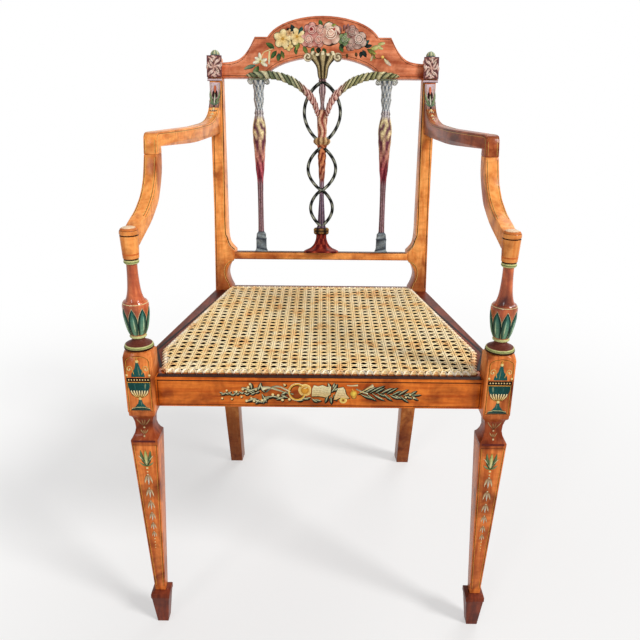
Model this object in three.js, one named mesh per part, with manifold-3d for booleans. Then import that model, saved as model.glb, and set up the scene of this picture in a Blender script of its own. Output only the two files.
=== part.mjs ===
// Painted satinwood armchair with a caned seat and an open back, in millimetres, +Z up.
// The chair is drawn with X across, Y from front to back and Z up from the floor. Its front leg blocks
// start at Y = 0, and the whole chair is moved over the origin at the end. Right means +X.

import * as THREE from "three";
import { mergeVertices } from "three/addons/utils/BufferGeometryUtils.js";
import Module from "manifold-3d";

const wasm = await Module();
wasm.setup();

// Fits and fineness
const fitGap = 0.2;
const turnedGap = 0.3;
const cutOverrun = 250;
const weldDistance = 0.0005;
const roundSides = 16;
const pinSides = 12;
const curveSteps = 14;
const archSteps = 20;

// Seat frame
const seatHeight = 431;
const seatDepth = 409.5;
const railHeight = 44.5;
const frontRailSetback = 12;
const frontRailThickness = 22;
const sideRailThickness = 24;
const rearRailThickness = 22;
const lipHeight = 16;
const lipMargin = 14;
const railEdgeRadius = 5;

// Tenons of the rails
const tenonLength = 14;
const tenonThickness = 9;
const tenonShoulder = 6;

// Caned panel
const caneThickness = 3;
const caneLap = 3;
const caneFrontLine = 29;
const caneRearInset = 9.5;
const caneFrontEndInset = 7.5;
const caneNotchDepth = 15;
const caneSideInset = 12.1292;
const caneWidestLine = 108;
const caneRearEndInset = 10.5;
const netPitch = 24;
const netStrand = 5.5;

// Front legs
const legSpread = 495;
const legBlock = 38;
const blockDrop = 48.5;
const blockShoulderRise = 34.7;
const blockRise = 43;
const blockTopRadius = 17;
const neckLength = 48.5;
const neckWaist = 24;
const ankleWidth = 16;
const footHeight = 62;
const collarWidth = 28.5;
const collarHeight = 12;
const soleWidth = 17;
const footPinRadius = 4;
const footPinLength = 16;

// Balusters and arm supports
const balusterRadius = 17.9;
const balusterLength = 126;
const terminalHeight = 42;
const terminalRadius = 11.7;
const pegRadius = 5.5;
const pegLength = 22;
const armWidth = 18.8;
const supportRise = 79;
const elbowHeight = 29;
const elbowFront = 98;
const elbowDepth = 20.5;
const supportFootDepth = 10;
const supportFootRise = 15;
const armSag = 7;
const armThickness = 25.5;
const armSweepLength = 94;
const armTipThickness = 6;
const dowelRadius = 4;
const dowelLength = 34;

// Back posts
const rakeRise = 388;
const rakeRun = 66.3;
const postSkewShare = 0.07;
const postHalfSeat = 203.5;
const postMiddle = 150;
const postSpreadTop = 4.5;
const postDrawnInMiddle = 0.1;
const postDrawnInKnee = 0.7;
const postDrawnInFoot = 3.2;
const postWidthSeat = 31.5;
const postWidthKnee = 28.6;
const postWidthFoot = 25.1;
const postWidthMiddle = 22.2;
const postWidthTop = 22.7;
const kneeHeight = 160;
const filletHeight = 40;
const rearLegKick = 75.5;
const rearLegBend = 1.5;
const postDepthFoot = 30;
const postDepthSeat = 31;
const postDepthTop = 22;

// Crown blocks and finials
const crestBottom = 392.5;
const crownBlockWidth = 23.8;
const crownBlockHeight = 34.5;
const crownBlockProud = 7;
const crownMouldHeight = 5.5;
const crownMouldProud = 4.5;
const finialRadius = 11;
const finialHeight = 14;
const finialPinRadius = 3.5;
const finialPinLength = 10;

// Crest rail
const crestRecess = 2;
const crestThickness = 18;
const crestEndHeight = 26;
const crestShoulderHeight = 71;
const crestShoulderOuter = 124;
const crestTopHeight = 107.5;
const domeHalfSpan = 105;
const domeRise = 50;
const archHalfSpan = 108;
const archRise = 46;
const archCentreDrop = 7.5;
const crestTenonHeight = 16;
const crestTenonThickness = 8;
const crestTenonLength = 12;

// Shoe rail, the low cross rail of the back
const filletReach = 15.2;
const shoeBottom = 59.5;
const shoeHeight = 14.3;
const shoeThickness = 26;
const shoeTenonHeight = 9;
const shoeTenonLength = 12;

// Splats
const sideSplatTopPlace = 118.3;
const sideSplatFootPlace = 114.8;
const sideSplatRadius = 12.8;
const splatMiddle = 9;
const splatDepthShare = 0.75;
const voluteRadius = 5;
const capitalHeight = 9;
const footBlockWidth = 20.5;
const footBlockHeight = 38;
const splatTenonWidth = 7;
const splatTenonLength = 8;
const stemRadius = 34;
const stemThickness = 17;
const stemTop = 400;
const loopBand = 6.2;
const loopDepth = 9;
const loopFront = 4.5;
const firstLoopTop = 386;
const firstLoopFoot = 280;
const firstLoopHalf = 33.5;
const secondLoopTop = 270;
const crossing = 191;
const secondLoopHalf = 26;
const thirdLoopHalf = 20.7;
const thirdLoopFoot = 124;
const footScrollRadius = 4;
const footScrollPlace = 10;
const footScrollHeight = 116;
const carvingProud = 6;
const plumeReach = 141;
const plumeRoot = 322;
const plumeTop = 404;
const capitalHalfWidth = 31;
const capitalRise = 38;
const capitalVolute = 6.5;
const capitalBack = 12.5;

// Corner blocks inside the seat frame, and the screws
const cornerReach = 58;
const cornerBlockHeight = 22;
const cornerBlockRise = 5;
const screwRadius = 2;
const screwHeadRadius = 4.5;
const screwHeadHeight = 2.6;
const screwSink = 1.2;
const screwBite = 12;
const armScrewHeight = 320;
const armScrewBite = 20;

// Values that follow from the sizes above
const legHalfSpread = legSpread / 2;
const legHalf = legBlock / 2;
const railBottom = seatHeight - railHeight;
const blockBottom = seatHeight - blockDrop;
const blockShoulder = seatHeight + blockShoulderRise;
const blockTop = seatHeight + blockRise;
const neckBottom = blockBottom - neckLength;
const terminalBottom = blockTop + balusterLength;
const terminalTop = terminalBottom + terminalHeight;
const supportFoot = terminalBottom + supportFootRise;
const elbowJoint = terminalTop + supportRise;
const elbowTop = elbowJoint + elbowHeight;
const capitalTopHeight = stemTop + capitalRise;
const caneRearLine = seatDepth + caneRearInset;
const lipBottom = seatHeight - lipHeight;
const rake = Math.atan2(rakeRun, rakeRise);
const rakeSlope = rakeRun / rakeRise;
const postHalfMiddle = postHalfSeat - postDrawnInMiddle;
const postHalfTop = postHalfSeat + postSpreadTop;
const postHalfKnee = postHalfSeat - postDrawnInKnee;
const postHalfFoot = postHalfSeat - postDrawnInFoot;
const postInnerSeat = postHalfSeat - postWidthSeat;
const postInnerKnee = postHalfKnee - postWidthKnee;
const postInnerFoot = postHalfFoot - postWidthFoot;
const postInnerMiddle = postHalfMiddle - postWidthMiddle;
const postInnerTop = postHalfTop - postWidthTop;
const shoeHalfLength = postInnerMiddle - filletReach;
const crownTop = crestBottom + crownBlockHeight;
const shoeTop = shoeBottom + shoeHeight;
const archTop = crestBottom - archCentreDrop + archRise;
const blockInner = legHalfSpread - legHalf;
const blockOuter = legHalfSpread + legHalf;
const frontRailBack = frontRailSetback + frontRailThickness;
const frontLipBack = caneFrontLine + lipMargin;
const rearRailBack = seatDepth + postDepthSeat;
const rearRailFront = rearRailBack - rearRailThickness;
const crownOuter = postInnerTop + crownBlockWidth;
const crownMiddle = (postInnerTop + crownOuter) / 2;
const crownDepthMiddle = (postDepthTop - crownBlockProud) / 2;

const axisX = new THREE.Vector3(1, 0, 0);
const axisY = new THREE.Vector3(0, 1, 0);
const axisZ = new THREE.Vector3(0, 0, 1);
const drawnFromSide = new THREE.Matrix4().makeBasis(axisY, axisZ, axisX);
const drawnFromFront = new THREE.Matrix4().makeBasis(axisX, axisZ, axisY.clone().negate());

// The back leans: its own frame stands on the seat at the front of the posts, with z up its slope.
const backFrame = new THREE.Matrix4().makeRotationX(-rake).setPosition(0, seatDepth, seatHeight);

// The right arm's frame stands on the baluster's axis, with y along the arm to the post.
const armPostX = (postInnerTop + postHalfTop) / 2;
const armRun = seatDepth + rakeSlope * (elbowTop - seatHeight) - legHalf;
const armTurn = Math.atan2(legHalfSpread - armPostX, armRun);
const armLength = Math.hypot(legHalfSpread - armPostX, armRun);
const armFrame = new THREE.Matrix4().makeRotationZ(armTurn).setPosition(legHalfSpread, legHalf, 0);

// The right side rail's frame starts at the outer back corner of the leg block, with y along the rail.
const sideRun = seatDepth - legBlock;
const sideTurn = Math.atan2(blockOuter - postHalfSeat, sideRun);
const sideLength = Math.hypot(blockOuter - postHalfSeat, sideRun);
const sideFrame = new THREE.Matrix4().makeRotationZ(sideTurn).setPosition(blockOuter, legBlock, 0);

// The line of cane holes keeps its distance from the leg blocks, the side rails and the posts.
const caneHalfFront = blockInner - caneFrontEndInset;
const caneHalfWidest = blockOuter - Math.tan(sideTurn) * (caneWidestLine - legBlock) - caneSideInset;
const caneHalfRear = postInnerSeat - caneRearEndInset;

// Solids

function asSolid(geometry) {
  const bare = new THREE.BufferGeometry();
  bare.setAttribute("position", geometry.getAttribute("position"));
  bare.setIndex(geometry.getIndex());
  const merged = mergeVertices(bare, weldDistance);
  const vertProperties = merged.getAttribute("position").array;
  const triVerts = new Uint32Array(merged.getIndex().array);
  return new wasm.Manifold(new wasm.Mesh({ numProp: 3, vertProperties, triVerts }));
}

function asGeometry(solid) {
  const mesh = solid.getMesh();
  const geometry = new THREE.BufferGeometry();
  geometry.setAttribute("position", new THREE.BufferAttribute(mesh.vertProperties, mesh.numProp));
  geometry.setIndex(new THREE.BufferAttribute(mesh.triVerts, 1));
  const flat = geometry.toNonIndexed();
  flat.computeVertexNormals();
  return flat;
}

function joined(...geometries) {
  return geometries.map(asSolid).reduce((whole, solid) => whole.add(solid));
}

function common(...geometries) {
  return geometries.map(asSolid).reduce((shared, solid) => shared.intersect(solid));
}

function cut(solid, ...geometries) {
  return geometries.map(asSolid).reduce((rest, tool) => rest.subtract(tool), solid);
}

function moved(geometry, frame) {
  return geometry.clone().applyMatrix4(frame);
}

function inFrame(geometry, frame) {
  return geometry.clone().applyMatrix4(frame.clone().invert());
}

// The same solid together with its mirror image across the middle of the chair
function onBothSides(solid) {
  return solid.add(solid.mirror([1, 0, 0]));
}

function block(xRange, yRange, zRange) {
  const [width, depth, height] = [xRange, yRange, zRange].map(([low, high]) => high - low);
  const [x, y, z] = [xRange, yRange, zRange].map(([low, high]) => (low + high) / 2);
  return new THREE.BoxGeometry(width, depth, height).translate(x, y, z);
}

function extruded(outline, depth, holes = []) {
  const shape = new THREE.Shape(outline.map(([a, b]) => new THREE.Vector2(a, b)));
  shape.holes = holes.map((hole) => new THREE.Path(hole.map(([a, b]) => new THREE.Vector2(a, b))));
  return new THREE.ExtrudeGeometry(shape, { depth, bevelEnabled: false });
}

// An outline in (x, y), seen from above, between two heights
function planCut(outline, low, high) {
  return extruded(outline, high - low).translate(0, 0, low);
}

// An outline in (y, z), seen from the side, between two places across
function sideCut(outline, from, to) {
  return extruded(outline, to - from).applyMatrix4(drawnFromSide).translate(from, 0, 0);
}

// An outline in (x, z), seen from the front, between a near and a far depth
function frontCut(outline, near, far, holes) {
  return extruded(outline, far - near, holes).applyMatrix4(drawnFromFront).translate(0, far, 0);
}

// A smooth line through hand-picked points
function smooth(points, steps = curveSteps) {
  const line = new THREE.SplineCurve(points.map(([a, b]) => new THREE.Vector2(a, b)));
  return line.getPoints(steps).map((point) => [point.x, point.y]);
}

// Points given as shares of the way from one corner to the opposite one
function between([startA, startB], [endA, endB], shares) {
  return shares.map(([a, b]) => [startA + (endA - startA) * a, startB + (endB - startB) * b]);
}

// Profile points [radius, z] from shares of the largest radius and of the height
function profileOf(radius, low, high, shares) {
  return between([0, low], [radius, high], shares);
}

// A turned piece on the Z axis; the profile lists [radius, z] from the bottom up
function turned(profile, sides = roundSides) {
  const points = profile.map(([radius, z]) => new THREE.Vector2(radius, z));
  return new THREE.LatheGeometry(points, sides).rotateX(Math.PI / 2);
}

// A square piece on the Z axis; the profile lists [half width, z] from the bottom up
function squared(profile) {
  return turned(profile.map(([half, z]) => [half * Math.SQRT2, z]), 4).rotateZ(Math.PI / 4);
}

function pin(radius, low, high) {
  return turned([[0, low], [radius, low], [radius, high], [0, high]], pinSides);
}

// A scroll: a short cylinder seen end on from the front
function scroll(radius, near, far) {
  return pin(radius, -far, -near).rotateX(Math.PI / 2);
}

// Wood, paint, cane and metal

function finish(color, roughness = 0.45) {
  return new THREE.MeshStandardMaterial({ color, roughness, metalness: 0 });
}

const satinwood = () => finish(0xc0692a);
const darkSatinwood = () => finish(0x8a4526);
const greenPaint = () => finish(0x5f7d6b);
const rosePaint = () => finish(0xb0585a);
const greyGreenPaint = () => finish(0x8d9488);
const darkFoot = () => finish(0x4a2a1c);
const cane = () => finish(0xd9b777, 0.6);
const beech = () => finish(0xb98a58, 0.7);
const steel = () => new THREE.MeshStandardMaterial({ color: 0x77706a, roughness: 0.5, metalness: 1 });

// Seat rail tenons; each is grown by a clearance to cut its mortise

function railTenonHeights(grow) {
  return [railBottom + tenonShoulder - grow, seatHeight - tenonShoulder + grow];
}

function frontTenon(grow) {
  const middle = frontRailSetback + frontRailThickness / 2;
  const half = tenonThickness / 2 + grow;
  const reach = [blockInner - tenonLength, blockInner + tenonLength + grow];
  return block(reach, [middle - half, middle + half], railTenonHeights(grow));
}

function rearTenon(grow) {
  const middle = (rearRailFront + rearRailBack) / 2;
  const half = tenonThickness / 2 + grow;
  const reach = [postInnerSeat - tenonLength, postInnerSeat + tenonLength + grow];
  return block(reach, [middle - half, middle + half], railTenonHeights(grow));
}

function sideTenon(end, grow) {
  const half = tenonThickness / 2 + grow;
  const middle = -sideRailThickness / 2;
  const reach = [end - tenonLength - grow, end + tenonLength + grow];
  return moved(block([middle - half, middle + half], reach, railTenonHeights(grow)), sideFrame);
}

// Front leg: an arched block, a hollowed neck and a square taper, on the leg's own axis

const blockArchShares = [
  [0, 0],
  [0.5, 0.52],
  [1, 1],
];

const neckShares = [
  [0, 0.02],
  [0, 0.08],
  [0.42, 0.16],
  [0.78, 0.28],
  [1, 0.42],
  [0.93, 0.62],
  [0.62, 0.8],
  [0.14, 0.88],
  [0.1, 1],
];

function legBlockArch() {
  const cornerRadius = legHalf * Math.SQRT2;
  const wide = cornerRadius + legHalf;
  const dome = between([cornerRadius, blockShoulder], [blockTopRadius, blockTop], blockArchShares);
  const profile = [[0, blockBottom], [wide, blockBottom], [wide, blockShoulder], ...dome, [0, blockTop]];
  const square = squared([[0, blockBottom], [legHalf, blockBottom], [legHalf, blockTop], [0, blockTop]]);
  return common(square, turned(profile, archSteps * 2));
}

function frontLeg() {
  const toLeg = new THREE.Matrix4().makeTranslation(legHalfSpread, legHalf, 0);
  const neck = between([legHalf, neckBottom], [neckWaist / 2, blockBottom], neckShares);
  const ankle = footHeight + fitGap;
  const taper = [[0, ankle], [ankleWidth / 2, ankle], [legHalf, neckBottom]];
  const shaft = squared([...taper, ...neck, [0, blockBottom]]);
  const footPin = pin(footPinRadius, footHeight - footPinLength, footHeight + footPinLength);
  const whole = legBlockArch().add(joined(shaft, footPin));
  return asGeometry(
    cut(
      whole,
      pin(pegRadius + fitGap, blockTop - pegLength - fitGap, blockTop + cutOverrun),
      inFrame(frontTenon(fitGap), toLeg),
      inFrame(sideTenon(0, fitGap), toLeg),
      inFrame(cornerScrewHole(frontCorner), toLeg),
    ),
  );
}

const toeTopShare = 0.94;

const collarShares = [
  [1, 0],
  [1, 0.65],
  [0.62, 1],
];

function spadeFoot() {
  const toeTop = footHeight - collarHeight;
  const collar = between([0, toeTop], [collarWidth / 2, footHeight], collarShares);
  const toe = [[soleWidth / 2, 0], [(collarWidth / 2) * toeTopShare, toeTop]];
  const body = squared([[0, 0], ...toe, ...collar, [0, footHeight]]);
  const pinHole = pin(footPinRadius + fitGap, footHeight - footPinLength - fitGap, footHeight + cutOverrun);
  return asGeometry(cut(asSolid(body), pinHole));
}

// Baluster between the leg block and the arm, with a peg at each end

const balusterShares = [
  [1.13, 0],
  [1.13, 0.012],
  [1.03, 0.022],
  [1.07, 0.036],
  [0.98, 0.05],
  [0.72, 0.068],
  [0.46, 0.098],
  [0.46, 0.112],
  [0.62, 0.122],
  [0.64, 0.14],
  [0.58, 0.152],
  [0.73, 0.205],
  [0.87, 0.288],
  [0.96, 0.375],
  [0.995, 0.452],
  [1, 0.495],
  [0.96, 0.52],
  [0.74, 0.542],
  [0.63, 0.572],
  [0.52, 0.64],
  [0.45, 0.73],
  [0.41, 0.84],
  [0.4, 0.938],
  [0.52, 0.95],
  [0.56, 0.97],
  [0.54, 1],
];

function baluster() {
  const foot = blockTop + fitGap;
  const outside = profileOf(balusterRadius, foot, terminalBottom, balusterShares);
  const lowPeg = [[0, blockTop - pegLength], [pegRadius, blockTop - pegLength], [pegRadius, foot]];
  const pegTop = terminalBottom + pegLength;
  return turned([...lowPeg, ...outside, [pegRadius, terminalBottom], [pegRadius, pegTop], [0, pegTop]]);
}

// Arm support: a turned terminal whose back sweeps up to the elbow

const terminalShares = [
  [0, 0],
  [1, 0],
  [0.99, 0.7],
  [0.94, 0.72],
  [0.94, 0.75],
  [1.01, 0.78],
  [1.01, 0.86],
  [0.87, 0.93],
  [0.6, 0.98],
  [0, 1],
];

const supportFrontShares = [
  [0.05, -0.07],
  [0.3, 0.05],
  [0.48, 0.14],
  [0.62, 0.245],
  [0.74, 0.36],
  [0.885, 0.6],
  [1, 1],
];

const supportBackShares = [
  [1, 1],
  [0.955, 0.742],
  [0.79, 0.444],
  [0.64, 0.315],
  [0.44, 0.19],
  [0.15, 0.066],
  [0, 0],
];

function supportOutline() {
  const front = between([0, terminalTop], [elbowFront, elbowJoint], supportFrontShares);
  const elbowBack = elbowFront + elbowDepth;
  const back = between([supportFootDepth, supportFoot], [elbowBack, elbowJoint], supportBackShares);
  return [...smooth(back), [0, supportFoot], ...smooth(front)].reverse();
}

function elbowDowel(grow) {
  const half = dowelLength / 2 + grow;
  const peg = pin(dowelRadius + grow, elbowJoint - half, elbowJoint + half);
  return peg.translate(0, elbowFront + elbowDepth / 2, 0);
}

function armSupport() {
  const foot = terminalBottom + fitGap;
  const terminal = turned(profileOf(terminalRadius, foot, terminalTop, terminalShares));
  const sweep = sideCut(supportOutline(), -armWidth / 2, armWidth / 2);
  const pegHole = pin(pegRadius + fitGap, terminalBottom - cutOverrun, terminalBottom + pegLength + fitGap);
  return asGeometry(cut(joined(terminal, sweep), pegHole, elbowDowel(fitGap)));
}

// Armrest: from the elbow back along the arm, then up the front of the post to a thin tip

const elbowCornerShares = [
  [0, 0],
  [0.06, 0.4],
  [0.14, 0.8],
  [0.3, 0.96],
  [0.55, 1],
];

const armTopShares = [
  [0, 0.06],
  [0.38, 0.62],
  [0.7, 0.97],
  [1, 1],
];

const armSweepShares = [
  [0, 0],
  [0.3, 0.02],
  [0.56, 0.1],
  [0.76, 0.26],
  [0.9, 0.52],
  [0.97, 0.78],
  [1, 1],
];

const armUnderShares = [
  [1, 0.84],
  [0.75, 0.92],
  [0.45, 0.88],
  [0, 0.5],
];

function armrestOutline() {
  const tipTop = slopeToHeight(crestBottom) - crownBlockProud;
  const tipFront = armLength + rakeSlope * (tipTop - elbowTop) - armTipThickness;
  const sweepFoot = elbowTop - armSag;
  const sweepStart = tipFront - armSweepLength;
  const elbowBack = elbowFront + elbowDepth;
  const cornerStart = [elbowFront, elbowJoint + fitGap];
  const cornerEnd = [elbowFront + armThickness, elbowTop];
  const corner = between(cornerStart, cornerEnd, elbowCornerShares);
  const top = smooth(between(cornerEnd, [sweepStart, sweepFoot], armTopShares));
  const sweep = smooth(between([sweepStart, sweepFoot], [tipFront, tipTop], armSweepShares)).slice(1);
  const underEnd = [armLength, sweepFoot - armThickness];
  const under = smooth(between([elbowBack, sweepFoot], underEnd, armUnderShares));
  const behind = armLength + cutOverrun;
  const rear = [[behind, tipTop], [behind, under[0][1]]];
  return [...corner, ...top, ...sweep, ...rear, ...under, [elbowBack, elbowJoint + fitGap]].reverse();
}

function armrest() {
  const postZone = block([0, legSpread], [-turnedGap, cutOverrun * 2], [-seatHeight, crownTop]);
  const bar = asSolid(sideCut(armrestOutline(), -armWidth / 2, armWidth / 2));
  return asGeometry(
    cut(
      bar,
      inFrame(moved(postZone, backFrame), armFrame),
      inFrame(moved(armScrewHole(), backFrame), armFrame),
      elbowDowel(fitGap),
    ),
  );
}

// Back post: rear leg, stile and the square crown block in one piece of wood.
// Its sides are skewed a little, so that the pair of posts narrows towards the back.

function slopeToHeight(slope) {
  return seatHeight + slope * Math.cos(rake);
}

const filletShares = [
  [0, 1],
  [0.07, 0.64],
  [0.3, 0.3],
  [1, 0],
];

const hollowShares = [
  [0, 1],
  [0.66, 0.8],
  [1, 0.52],
  [0.82, 0.26],
  [0.4, 0.04],
];

function stileOutline() {
  const [shoeFootHeight, shoeTopHeight, topHeight] = [shoeBottom, shoeTop, crownTop].map(slopeToHeight);
  const filletEnds = [[postInnerMiddle, shoeTopHeight], [shoeHalfLength, shoeTopHeight + filletHeight]];
  const hollowEnds = [[shoeHalfLength, seatHeight], [postInnerMiddle, shoeFootHeight]];
  return [
    [postHalfSeat, seatHeight],
    [postHalfMiddle, slopeToHeight(postMiddle)],
    [postHalfTop, topHeight],
    [postInnerTop, topHeight],
    ...smooth(between(...filletEnds, filletShares)),
    ...smooth(between(...hollowEnds, hollowShares)),
    [postInnerSeat, seatHeight],
  ];
}

function railZoneOutline() {
  return [
    [postHalfSeat, railBottom],
    [postHalfSeat, seatHeight],
    [postInnerSeat, seatHeight],
    [postInnerSeat, railBottom],
  ];
}

function legOutline() {
  return [
    [postHalfFoot, 0],
    [postHalfKnee, kneeHeight],
    [postHalfSeat, railBottom],
    [postInnerSeat, railBottom],
    [postInnerKnee, kneeHeight],
    [postInnerFoot, 0],
  ];
}

// A front outline made solid and skewed about a line that leans with the given slope
function skewed(outline, slope, height) {
  const k = postSkewShare;
  const frame = new THREE.Matrix4().set(
    1, -k, k * slope, k * (seatDepth - slope * height),
    0, 1, 0, 0,
    0, 0, 1, 0,
    0, 0, 0, 1,
  );
  return moved(frontCut(outline, 0, seatDepth * 2), frame);
}

function postInnerAt(y) {
  return postInnerSeat - postSkewShare * (y - seatDepth);
}

function kick(z) {
  return rearLegKick * Math.max(0, (seatHeight - z) / seatHeight) ** rearLegBend;
}

const legHeightShares = [0, 0.12, 0.25, 0.4, 0.55, 0.7, 0.85];

function postSideOutline(grow) {
  const legHeights = legHeightShares.map((share) => share * seatHeight);
  const depthAt = (z) => postDepthFoot + (postDepthSeat - postDepthFoot) * (z / seatHeight);
  const top = slopeToHeight(crownTop) + crownBlockHeight;
  const lean = rakeSlope * (top - seatHeight);
  const front = legHeights.map((z) => [seatDepth + kick(z) - grow, z]).reverse();
  const back = legHeights.map((z) => [seatDepth + kick(z) + depthAt(z) + grow, z]);
  return [
    ...back,
    [seatDepth + postDepthSeat + grow, seatHeight],
    [seatDepth + lean + postDepthTop + grow, top],
    [seatDepth + lean - grow, top],
    [seatDepth - grow, seatHeight],
    ...front,
  ];
}

function postStick() {
  const parts = [
    skewed(stileOutline(), rakeSlope, seatHeight),
    skewed(railZoneOutline(), 0, seatHeight),
    skewed(legOutline(), -rearLegKick / seatHeight, railBottom),
  ];
  return joined(...parts).intersect(asSolid(sideCut(postSideOutline(0), 0, legSpread)));
}

function crownBlock() {
  const mouldFoot = crestBottom - crownMouldHeight;
  const cube = block([postInnerTop, crownOuter], [-crownBlockProud, postDepthTop], [crestBottom, crownTop]);
  const mould = block([postInnerTop, crownOuter], [-crownMouldProud, postDepthTop], [mouldFoot, crestBottom]);
  return joined(moved(cube, backFrame), moved(mould, backFrame));
}

function backPost() {
  const crestReach = [crestBottom, crownTop + cutOverrun];
  const crestZone = block([0, postInnerTop], [-cutOverrun, cutOverrun], crestReach);
  const aboveCrown = block([0, legSpread], [-cutOverrun, cutOverrun], [crownTop, crownTop + cutOverrun]);
  const pinFoot = crownTop - finialPinLength - turnedGap;
  const pinHole = pin(finialPinRadius + turnedGap, pinFoot, crownTop + cutOverrun);
  const stick = cut(postStick(), moved(aboveCrown, backFrame), moved(crestZone, backFrame));
  return asGeometry(
    cut(
      stick.add(crownBlock()),
      moved(pinHole.translate(crownMiddle, crownDepthMiddle, 0), backFrame),
      moved(crestTenon(turnedGap), backFrame),
      moved(shoeTenon(turnedGap), backFrame),
      moved(armScrewHole(), backFrame),
      rearTenon(fitGap),
      sideTenon(sideLength, fitGap),
      cornerScrewHole(rearCorner),
    ),
  );
}

const finialShares = [
  [1, 0],
  [1, 0.18],
  [0.9, 0.24],
  [0.86, 0.3],
  [0.74, 0.34],
  [0.76, 0.48],
  [0.66, 0.68],
  [0.43, 0.88],
  [0, 1],
];

function finial() {
  const base = crownTop + turnedGap;
  const foot = crownTop - finialPinLength;
  const peg = [[0, foot], [finialPinRadius, foot], [finialPinRadius, base]];
  return turned([...peg, ...profileOf(finialRadius, base, base + finialHeight, finialShares)]);
}

// Crest rail, in the back's frame

function crestTenon(grow) {
  const middle = crestBottom + crestEndHeight / 2;
  const depth = crestRecess + crestThickness / 2;
  const [halfDepth, halfHeight] = [crestTenonThickness / 2 + grow, crestTenonHeight / 2 + grow];
  return block(
    [postInnerTop - crestTenonLength, postInnerTop + crestTenonLength + grow],
    [depth - halfDepth, depth + halfDepth],
    [middle - halfHeight, middle + halfHeight],
  );
}

// Points of an arch from its right foot to its left one, where both feet stand at one height
function archPoints(halfSpan, rise, centre, feet) {
  const start = Math.asin((feet - centre) / rise);
  const turn = (Math.PI - 2 * start) / archSteps;
  const angles = Array.from({ length: archSteps + 1 }, (_, i) => start + turn * i);
  return angles.map((angle) => [Math.cos(angle) * halfSpan, centre + Math.sin(angle) * rise]);
}

const crestSweepShares = [
  [0, 0],
  [0.27, 0.03],
  [0.51, 0.125],
  [0.7, 0.33],
  [0.85, 0.61],
  [0.94, 0.84],
  [1, 1],
];

function crestOutline() {
  const half = postInnerTop - turnedGap;
  const shoulder = crestBottom + crestShoulderHeight;
  const domeCentre = crestBottom + crestTopHeight - domeRise;
  const ends = [[half, crestBottom + crestEndHeight], [crestShoulderOuter, shoulder]];
  const sweep = smooth(between(...ends, crestSweepShares));
  const mirrored = sweep.map(([x, z]) => [-x, z]).reverse();
  const dome = archPoints(domeHalfSpan, domeRise, domeCentre, shoulder);
  const arch = archPoints(archHalfSpan, archRise, crestBottom - archCentreDrop, crestBottom).reverse();
  return [[half, crestBottom], ...sweep, ...dome, ...mirrored, [-half, crestBottom], ...arch];
}

function crestRail() {
  const plate = asSolid(frontCut(crestOutline(), crestRecess, crestRecess + crestThickness));
  const body = plate.add(onBothSides(asSolid(crestTenon(0))));
  const sideSockets = onBothSides(asSolid(splatTenon(sideSplatTopPlace, crestBottom, turnedGap)));
  return asGeometry(cut(body.subtract(sideSockets), splatTenon(0, archTop, turnedGap)));
}

// Shoe rail, in the back's frame; its ends follow the skewed posts

function shoeTenon(grow) {
  const middle = (shoeBottom + shoeTop) / 2;
  const [halfDepth, halfHeight] = [tenonThickness / 2 + grow, shoeTenonHeight / 2 + grow];
  return block(
    [shoeHalfLength - shoeTenonLength, shoeHalfLength + shoeTenonLength + grow],
    [shoeThickness / 2 - halfDepth, shoeThickness / 2 + halfDepth],
    [middle - halfHeight, middle + halfHeight],
  );
}

function skewedBar(halfLength, near, far, low, high) {
  const farHalf = halfLength - postSkewShare * (far - near);
  return planCut([[-halfLength, near], [halfLength, near], [farHalf, far], [-farHalf, far]], low, high);
}

function shoeRail() {
  const bar = skewedBar(shoeHalfLength - turnedGap, 0, shoeThickness, shoeBottom, shoeTop);
  const body = asSolid(bar).add(onBothSides(asSolid(shoeTenon(0))));
  const sideSockets = onBothSides(asSolid(splatTenon(sideSplatFootPlace, shoeTop, turnedGap)));
  return asGeometry(cut(body.subtract(sideSockets), splatTenon(0, shoeTop, turnedGap)));
}

// A square tenon through the edge of a rail at the given slope height, half of it on each side
function splatTenon(x, edge, grow) {
  const half = splatTenonWidth / 2 + grow;
  const length = splatTenonLength + grow;
  const depths = [splatMiddle - half, splatMiddle + half];
  return block([x - half, x + half], depths, [edge - length, edge + length]);
}

// Side splat: a carved baluster with a scrolled capital, slim reeded shaft and square foot

const sideSplatShares = [
  [0.45, 0],
  [0.43, 0.15],
  [0.42, 0.27],
  [0.46, 0.33],
  [0.64, 0.44],
  [0.8, 0.54],
  [0.96, 0.65],
  [1, 0.71],
  [0.92, 0.76],
  [0.62, 0.825],
  [0.66, 0.84],
  [0.68, 0.855],
  [0.62, 0.87],
  [0.8, 0.9],
  [0.84, 0.93],
  [0.8, 0.97],
  [0.9, 1],
];

const splatFootShares = [
  [1.14, 0],
  [1, 0.16],
  [1.04, 0.5],
  [0.9, 1],
];

const splatCapShare = 0.45;

function sideSplatBody(low, high) {
  const shaftFoot = low + footBlockHeight;
  const capitalFoot = high - capitalHeight;
  const halfDepth = splatMiddle - crestRecess - turnedGap;
  const spread = sideSplatRadius + voluteRadius / 2;
  const shaftLine = profileOf(sideSplatRadius, shaftFoot, capitalFoot, sideSplatShares);
  const [startRadius, endRadius] = [shaftLine[0][0], shaftLine[shaftLine.length - 1][0]];
  const shaft = turned([[0, low], [startRadius, low], ...shaftLine, [endRadius, high], [0, high]]);
  const footLine = profileOf(footBlockWidth / 2, low, shaftFoot, splatFootShares);
  const foot = squared([[0, low], ...footLine, [0, shaftFoot]]);
  const cap = block([-spread, spread], [-halfDepth, halfDepth], [high - capitalHeight * splatCapShare, high]);
  const volute = scroll(voluteRadius, -halfDepth, halfDepth).translate(spread, 0, high - voluteRadius);
  const slab = block([-cutOverrun, cutOverrun], [-halfDepth, halfDepth], [low, high]);
  const rounded = [shaft, foot].map((part) => part.scale(1, splatDepthShare, 1));
  return joined(...rounded, cap).add(onBothSides(asSolid(volute))).intersect(asSolid(slab));
}

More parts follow.
